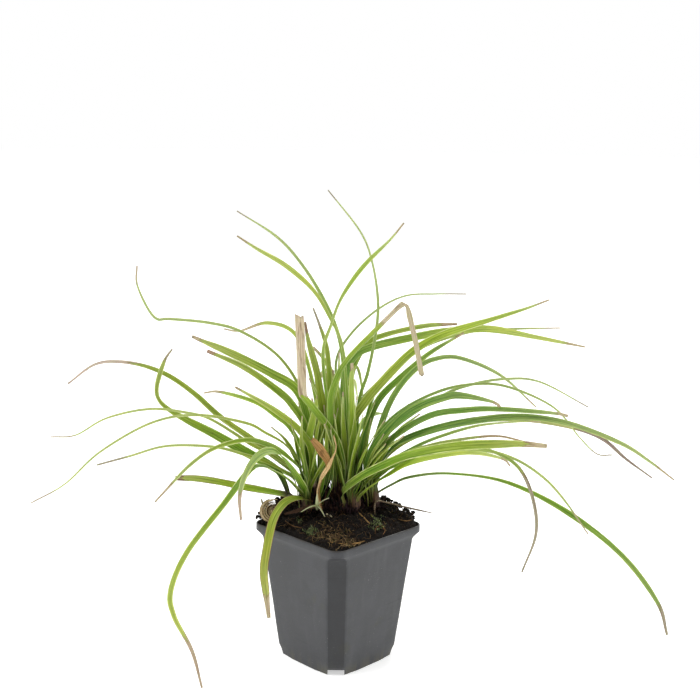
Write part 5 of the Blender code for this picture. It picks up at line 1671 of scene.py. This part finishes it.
def leaf_material():
    """Fresh blades: fine long veins, a keeled middle line, pale or brown margins and drying ends."""
    g = material_graph("sedge_blade")
    side, along, seed = g.values("side", "along", "seed")
    margin, dryness, brown = g.values("margin", "dryness", "brown")
    tint = g.value("tint", "Color")
    veins = g.grain(side, 9.0, along, 0.035, seed)
    fine = g.grain(side, 26.0, along, 0.02, seed, 2.0)
    patches = g.grain(side, 1.0, along, 0.05, g.plus(seed, 7.0))
    darker = g.shade(tint, (0.5, 0.62, 0.45))
    colour = g.mix(g.steps(veins, 0.34, 0.7), darker, g.paint(tint, 0.4, VEIN_LIGHT))
    colour = g.mix(g.steps(patches, 0.4, 0.72, 0.0, 0.5), colour, g.shade(tint, (1.18, 1.12, 0.72)))
    middle = g.steps(g.math("ABSOLUTE", side), 0.02, 0.13, 1.0, 0.0)
    colour = g.mix(g.times(middle, 0.45), colour, g.shade(tint, (0.55, 0.62, 0.5)))
    ragged = g.steps(g.grain(along, 0.11, seed, 1.0, side), 0.32, 0.62)
    pale = g.times(g.steps(margin, 0.25, 0.8, 1.0, 0.0), g.value("pale"))
    pale = g.times(pale, g.plus(g.times(ragged, 0.6), 0.4))
    colour = g.paint(colour, pale, PALE_EDGE)
    rusting = g.grain(along, 0.07, g.plus(seed, 3.0), 1.0, side, 4.0)
    rusting = g.plus(rusting, g.swing(brown, 0.34))
    rust = g.times(g.steps(margin, 0.25, 0.6, 1.0, 0.0), brown)
    colour = g.paint(colour, g.times(rust, g.steps(rusting, 0.45, 0.58)), RUST)
    specks = g.grain(side, 3.0, along, 0.35, g.plus(seed, 21.0), 2.0)
    colour = g.paint(colour, g.steps(specks, 0.72, 0.78, 0.0, 0.75), LEAF_SPECK)
    uneven = g.grain(side, 2.2, along, 0.09, g.plus(seed, 11.0), 4.0)
    dry = g.steps(g.plus(dryness, g.swing(uneven, 0.9)), 0.35, 0.65)
    dry = g.times(dry, g.steps(dryness, 0.0, 0.12))
    husk = g.value("dry_tint", "Color")
    darker = g.shade(husk, (0.58, 0.52, 0.46))
    husk = g.mix(g.steps(veins, 0.3, 0.72), darker, g.paint(husk, 0.35, HUSK_LIGHT))
    husk = g.paint(husk, g.steps(patches, 0.56, 0.66, 0.0, 0.55), HUSK_SPOT)
    line = g.times(g.steps(dry, 0.25, 0.5), g.steps(dry, 0.5, 0.9, 1.0, 0.0))
    colour = g.mix(dry, colour, husk)
    colour = g.paint(colour, g.times(line, 0.6), DRYING_LINE)
    ridge = g.plus(g.times(veins, 0.7), g.times(fine, 0.5))
    roughness = g.plus(g.times(dry, 0.24), g.steps(fine, 0.3, 0.7, 0.44, 0.58))
    return g.finish(colour, roughness, g.bump(ridge, 0.55, 0.3), Specular_IOR_Level=0.28,
                    Subsurface_Weight=0.12, Subsurface_Radius=(0.4, 0.8, 0.15), Subsurface_Scale=0.0012)


def dead_leaf_material():
    """Papery brown leaf: long fibres and dark blotches."""
    g = material_graph("dead_leaf")
    side, along, seed = g.values("side", "along", "seed")
    tint = g.value("dry_tint", "Color")
    fibres = g.grain(side, 14.0, along, 0.05, seed)
    blotches = g.grain(side, 1.0, along, 0.16, seed, 4.0)
    darker = g.shade(tint, (0.5, 0.44, 0.4))
    colour = g.mix(g.steps(fibres, 0.3, 0.7), darker, g.shade(tint, (1.42, 1.4, 1.34)))
    colour = g.mix(g.steps(blotches, 0.56, 0.7, 0.0, 0.65), colour, g.shade(tint, (0.3, 0.24, 0.2)))
    return g.finish(colour, 0.78, g.bump(fibres, 0.7, 0.35), Specular_IOR_Level=0.3)


def seedling_material():
    """Pale young leaves with faint veins."""
    g = material_graph("seedling_leaf")
    side, along, seed = g.values("side", "along", "seed")
    veins = g.grain(side, 6.0, along, 0.2, seed)
    colour = g.paint(g.value("tint", "Color"), g.steps(veins, 0.35, 0.7, 0.0, 0.6), (228, 226, 176))
    return g.finish(colour, 0.5, g.bump(veins, 0.4, 0.2), Subsurface_Weight=0.2,
                    Subsurface_Radius=(0.6, 0.8, 0.3), Subsurface_Scale=0.001)


def sheath_material():
    """Bases of the shoots: purple-brown at the peat, straw to pale green above, with torn edges and painted
    shade in the gaps under them.
    """
    g = material_graph("sheath")
    height, wrap, seed, turn = g.values("height", "fold", "seed", "turn")
    fibres = g.grain(turn, 11.0, height, 0.12, seed)
    mottles = g.grain(turn, 2.0, height, 0.25, seed, 4.0)
    low, middle, top = [g.mix(g.steps(fibres, 0.3, 0.7), linear(dark), linear(light))
                        for dark, light in (SHEATH_LOW, SHEATH_MIDDLE, SHEATH_TOP_TONES)]
    rise = g.plus(height, g.swing(mottles, 9.0))
    colour = g.mix(g.steps(rise, 2.0, 7.0), low, middle)
    colour = g.mix(g.steps(rise, 9.0, 16.0), colour, top)
    # Painted shade in the recess just under each proud sheath edge
    colour = g.paint(colour, g.steps(wrap, 0.0, 0.12, 0.75, 0.0), SHEATH_GAP_PAINTED_SHADE)
    colour = g.paint(colour, g.steps(wrap, 0.9, 1.0, 0.0, 0.4), SHEATH_LIP)
    return g.finish(colour, 0.62, g.bump(fibres, 0.6, 0.3))


def pot_material():
    """Recycled dark grey plastic: matte, faintly mottled, scuffed, dusty and stained by watering, with
    painted shade on the corner strips.
    """
    g = material_graph("nursery_pot_plastic")
    place = g.place()
    x, y, z = g.split(place)
    mottle = g.noise(place, 38.0, 5.0, 0.6)
    smudge = g.noise(place, 24.0, 3.0, 0.7)
    streak = g.grain(x, 160.0, y, 160.0, g.times(z, 7.0), 4.0)
    base = g.mix(g.steps(mottle, 0.35, 0.7), linear(PLASTIC[0]), linear(PLASTIC[1]))
    base = g.paint(base, g.steps(streak, 0.5, 0.78, 0.0, 0.22), PLASTIC_STREAK)
    base = g.paint(base, g.steps(smudge, 0.52, 0.74, 0.0, 0.5), PLASTIC_SMUDGE)
    base = g.paint(base, g.steps(g.noise(place, 46.0, 4.0, 0.65), 0.6, 0.72, 0.0, 0.4), PLASTIC_STAIN)
    specks = g.steps(g.cells(place, 340.0), 0.0, 0.12, 1.0, 0.0)
    rare = g.steps(g.noise(place, 60.0, 2.0), 0.46, 0.58)
    base = g.paint(base, g.times(g.times(specks, rare), 0.5), PLASTIC_SPECK)
    base = g.paint(base, g.steps(g.noise(place, 1500.0, 1.0), 0.68, 0.8, 0.0, 0.25), PLASTIC_DUST)
    rim = g.steps(z, 0.0985, 0.1)
    base = g.paint(base, g.times(rim, g.steps(smudge, 0.35, 0.6, 0.1, 0.6)), PLASTIC_RIM)
    foot = g.steps(z, 0.0, 0.012, 1.0, 0.0)
    base = g.paint(base, g.times(foot, g.steps(streak, 0.4, 0.6, 0.0, 0.6)), PLASTIC_FOOT)
    # Painted shade: the corner strips darkened, standing for the dark surround that they reflect
    base = g.paint(base, g.times(g.steps(g.value("strip"), 0.3, 0.7), 0.55), PLASTIC_STRIP_PAINTED_SHADE)
    scratch = g.grain(g.plus(x, y), 30.0, z, 700.0, g.times(x, 9.0), 2.0)
    rough = g.plus(g.steps(mottle, 0.3, 0.7, 0.42, 0.56), g.steps(scratch, 0.62, 0.75, 0.0, 0.1))
    height = g.plus(g.times(g.noise(place, 900.0, 2.0), 0.5), g.times(scratch, 0.3))
    return g.finish(base, rough, g.bump(height, 0.25, 0.08), Specular_IOR_Level=0.45)


def soil_material():
    """Moist peat: near-black crumbs, brown fibres, pale specks, and painted shade in the pits between its
    grains.
    """
    g = material_graph("peat_ground")
    place = g.place()
    crumb = g.noise(place, 620.0, 5.0, 0.7)
    grains = g.cells(place, 760.0)
    colour = g.mix(g.steps(g.noise(place, 90.0, 6.0, 0.65), 0.35, 0.68), linear(PEAT[0]), linear(PEAT[1]))
    colour = g.paint(colour, g.steps(crumb, 0.5, 0.8), PEAT_CRUMB)
    # Painted shade: darker in the pits, where the bump below is lowest
    colour = g.paint(colour, g.steps(grains, 0.0, 0.4, 0.75, 0.0), PEAT_PIT_PAINTED_SHADE)
    bits = g.steps(g.noise(place, 1100.0, 1.0), 0.72, 0.78)
    colour = g.paint(colour, g.times(bits, 0.7), PEAT_BIT)
    height = g.plus(crumb, g.times(grains, 0.8))
    return g.finish(colour, 0.93, g.bump(height, 1.0, 1.2), Specular_IOR_Level=0.25)


def litter_material():
    """Loose crumbs, fibres and scraps in their own tones, darker and lighter in turn."""
    g = material_graph("peat_litter_bits")
    crumb = g.noise(g.place(), 900.0, 4.0, 0.7)
    tint = g.value("tint", "Color")
    darker = g.shade(tint, (0.5, 0.48, 0.46))
    colour = g.mix(g.steps(crumb, 0.35, 0.7), darker, g.shade(tint, (1.5, 1.45, 1.35)))
    return g.finish(colour, 0.9, g.bump(crumb, 0.9, 0.4), Specular_IOR_Level=0.25)


def moss_material():
    """Moss leaves, with painted shade that darkens them towards their base."""
    g = material_graph("moss_leaf")
    tint = g.value("tint", "Color")
    # Painted shade: each leaf darker towards its base, down in the cushion
    tips = g.mix(g.steps(g.value("along"), 0.1, 1.0), g.shade(tint, (0.55, 0.6, 0.4)), tint)
    return g.finish(tips, 0.6, Subsurface_Weight=0.15, Subsurface_Radius=(0.5, 0.8, 0.2),
                    Subsurface_Scale=0.0008)


def dry_material():
    """Straw and dead stem: shiny long fibres over a dull core."""
    g = material_graph("dry_straw")
    tint = g.value("tint", "Color")
    fibres = g.grain(g.value("along"), 9.0, g.value("seed"), 1.0, 0.0, 4.0)
    fine = g.noise(g.place(), 1300.0, 3.0)
    colour = g.mix(g.steps(fibres, 0.35, 0.68), g.shade(tint, (0.55, 0.5, 0.44)), tint)
    colour = g.paint(colour, g.steps(fine, 0.4, 0.7, 0.0, 0.4), (218, 204, 166))
    return g.finish(colour, 0.6, g.bump(fine, 0.5, 0.2))


# Stage: a white floor, the lamps as name, across, away, up in metres, size and watts, and the surround
WHITE = (1.0, 1.0, 1.0)
FLOOR_SIZE = 60.0
FLOOR_WHITE = (0.9, 0.9, 0.9)
FLOOR_GLOW = 0.55
LAMPS = (
    ("key", -1.3, -0.6, 2.0, 1.3, 26.0),
    ("fill", 1.7, -0.4, 1.2, 1.4, 12.0),
    ("back", 0.3, 1.8, 1.7, 1.6, 22.0),
)
LAMP_AIM = (0.0, 0.0, 150.0)
WORLD_STRENGTH = 0.62
WORLD_NEAR_STRENGTH = 0.2
WORLD_HEADING = (0.0, 1.0, -0.3)
WORLD_SPREAD = (0.2, 0.95)


def put_on_stage(name, data):
    """A thing of the stage, which is no part of the object."""
    item = bpy.data.objects.new(name, data)
    bpy.context.scene.collection.objects.link(item)
    return item


def build_stage():
    """A wide white floor, soft lamps, and a surround that is white to the camera and dimmer near it."""
    floor = bpy.data.meshes.new("floor")
    half = FLOOR_SIZE / 2
    corners = [(-half, -half, 0), (half, -half, 0), (half, half, 0), (-half, half, 0)]
    floor.from_pydata(corners, [], [(0, 1, 2, 3)])
    g = material_graph("white_floor")
    floor.materials.append(g.finish(FLOOR_WHITE, 0.9, Specular_IOR_Level=0.1, Emission_Color=WHITE,
                                    Emission_Strength=FLOOR_GLOW))
    put_on_stage("floor", floor)
    for name, across, away, up, size, watts in LAMPS:
        lamp = bpy.data.lights.new(name, "AREA")
        lamp.shape = "DISK"
        lamp.size = size
        lamp.energy = watts
        item = put_on_stage(name, lamp)
        item.location = from_view(across, away, up)
        toward_lamp = item.location - Vector(LAMP_AIM) * MM
        item.rotation_euler = toward_lamp.to_track_quat("Z", "Y").to_euler()
    world = Graph(bpy.data.worlds.new("surround"))
    incoming = world.node("ShaderNodeNewGeometry").outputs["Incoming"]
    heading = from_view(*WORLD_HEADING).normalized()
    toward = world.made("ShaderNodeVectorMath", "Value", {0: incoming, 1: heading}, operation="DOT_PRODUCT")
    light = world.tree.nodes["Background"]
    world.plug(WHITE, light.inputs["Color"])
    strength = world.steps(toward, *WORLD_SPREAD, WORLD_STRENGTH, WORLD_NEAR_STRENGTH)
    world.plug(strength, light.inputs["Strength"])
    plain = world.made("ShaderNodeBackground", 0, {"Color": WHITE, "Strength": 1.0})
    sight = world.node("ShaderNodeLightPath").outputs["Is Camera Ray"]
    either = world.made("ShaderNodeMixShader", 0, {0: sight, 1: light.outputs[0], 2: plain})
    world.plug(either, world.tree.nodes["World Output"].inputs["Surface"])
    bpy.context.scene.world = world.owner


def build_camera():
    """The photograph's camera."""
    eye = from_view(0.0, -VIEW_DISTANCE, VIEW_HEIGHT)
    right = from_view(math.cos(VIEW_YAW), -math.sin(VIEW_YAW), 0.0)
    ahead = from_view(math.sin(VIEW_YAW), math.cos(VIEW_YAW), 0.0)
    forward = ahead * math.cos(VIEW_PITCH) - Vector((0.0, 0.0, math.sin(VIEW_PITCH)))
    up = right.cross(forward)
    turned_right = right * math.cos(VIEW_ROLL) + up * math.sin(VIEW_ROLL)
    turned_up = up * math.cos(VIEW_ROLL) - right * math.sin(VIEW_ROLL)
    lens = bpy.data.cameras.new("photograph")
    lens.sensor_width = FILM_WIDTH
    lens.lens = VIEW_FOCAL / (2.0 * VIEW_MIDDLE) * FILM_WIDTH
    lens.clip_start = 0.01
    lens.clip_end = 200.0
    camera = bpy.data.objects.new("photograph", lens)
    basis = Matrix((turned_right, turned_up, -forward)).transposed()
    camera.matrix_world = Matrix.Translation(eye * MM) @ basis.to_4x4()
    bpy.context.scene.collection.objects.link(camera)
    bpy.context.scene.camera = camera


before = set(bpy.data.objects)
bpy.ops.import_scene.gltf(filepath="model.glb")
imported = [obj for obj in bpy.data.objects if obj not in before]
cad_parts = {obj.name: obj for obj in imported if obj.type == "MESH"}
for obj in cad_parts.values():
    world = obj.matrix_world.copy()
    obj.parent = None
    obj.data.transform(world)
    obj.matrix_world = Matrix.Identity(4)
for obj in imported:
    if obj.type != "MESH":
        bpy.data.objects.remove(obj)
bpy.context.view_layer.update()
build_tufts(leaf_material(), sheath_material())
build_dead_leaves(dead_leaf_material())
build_seedling(seedling_material())
dry = dry_material()
build_dead_stem(dry)
build_straw_coil(dry)
build_soil(soil_material())
build_litter(litter_material())
build_moss(moss_material())
build_pot(pot_material())
build_stage()
build_camera()
bpy.context.scene.view_settings.view_transform = "Standard"
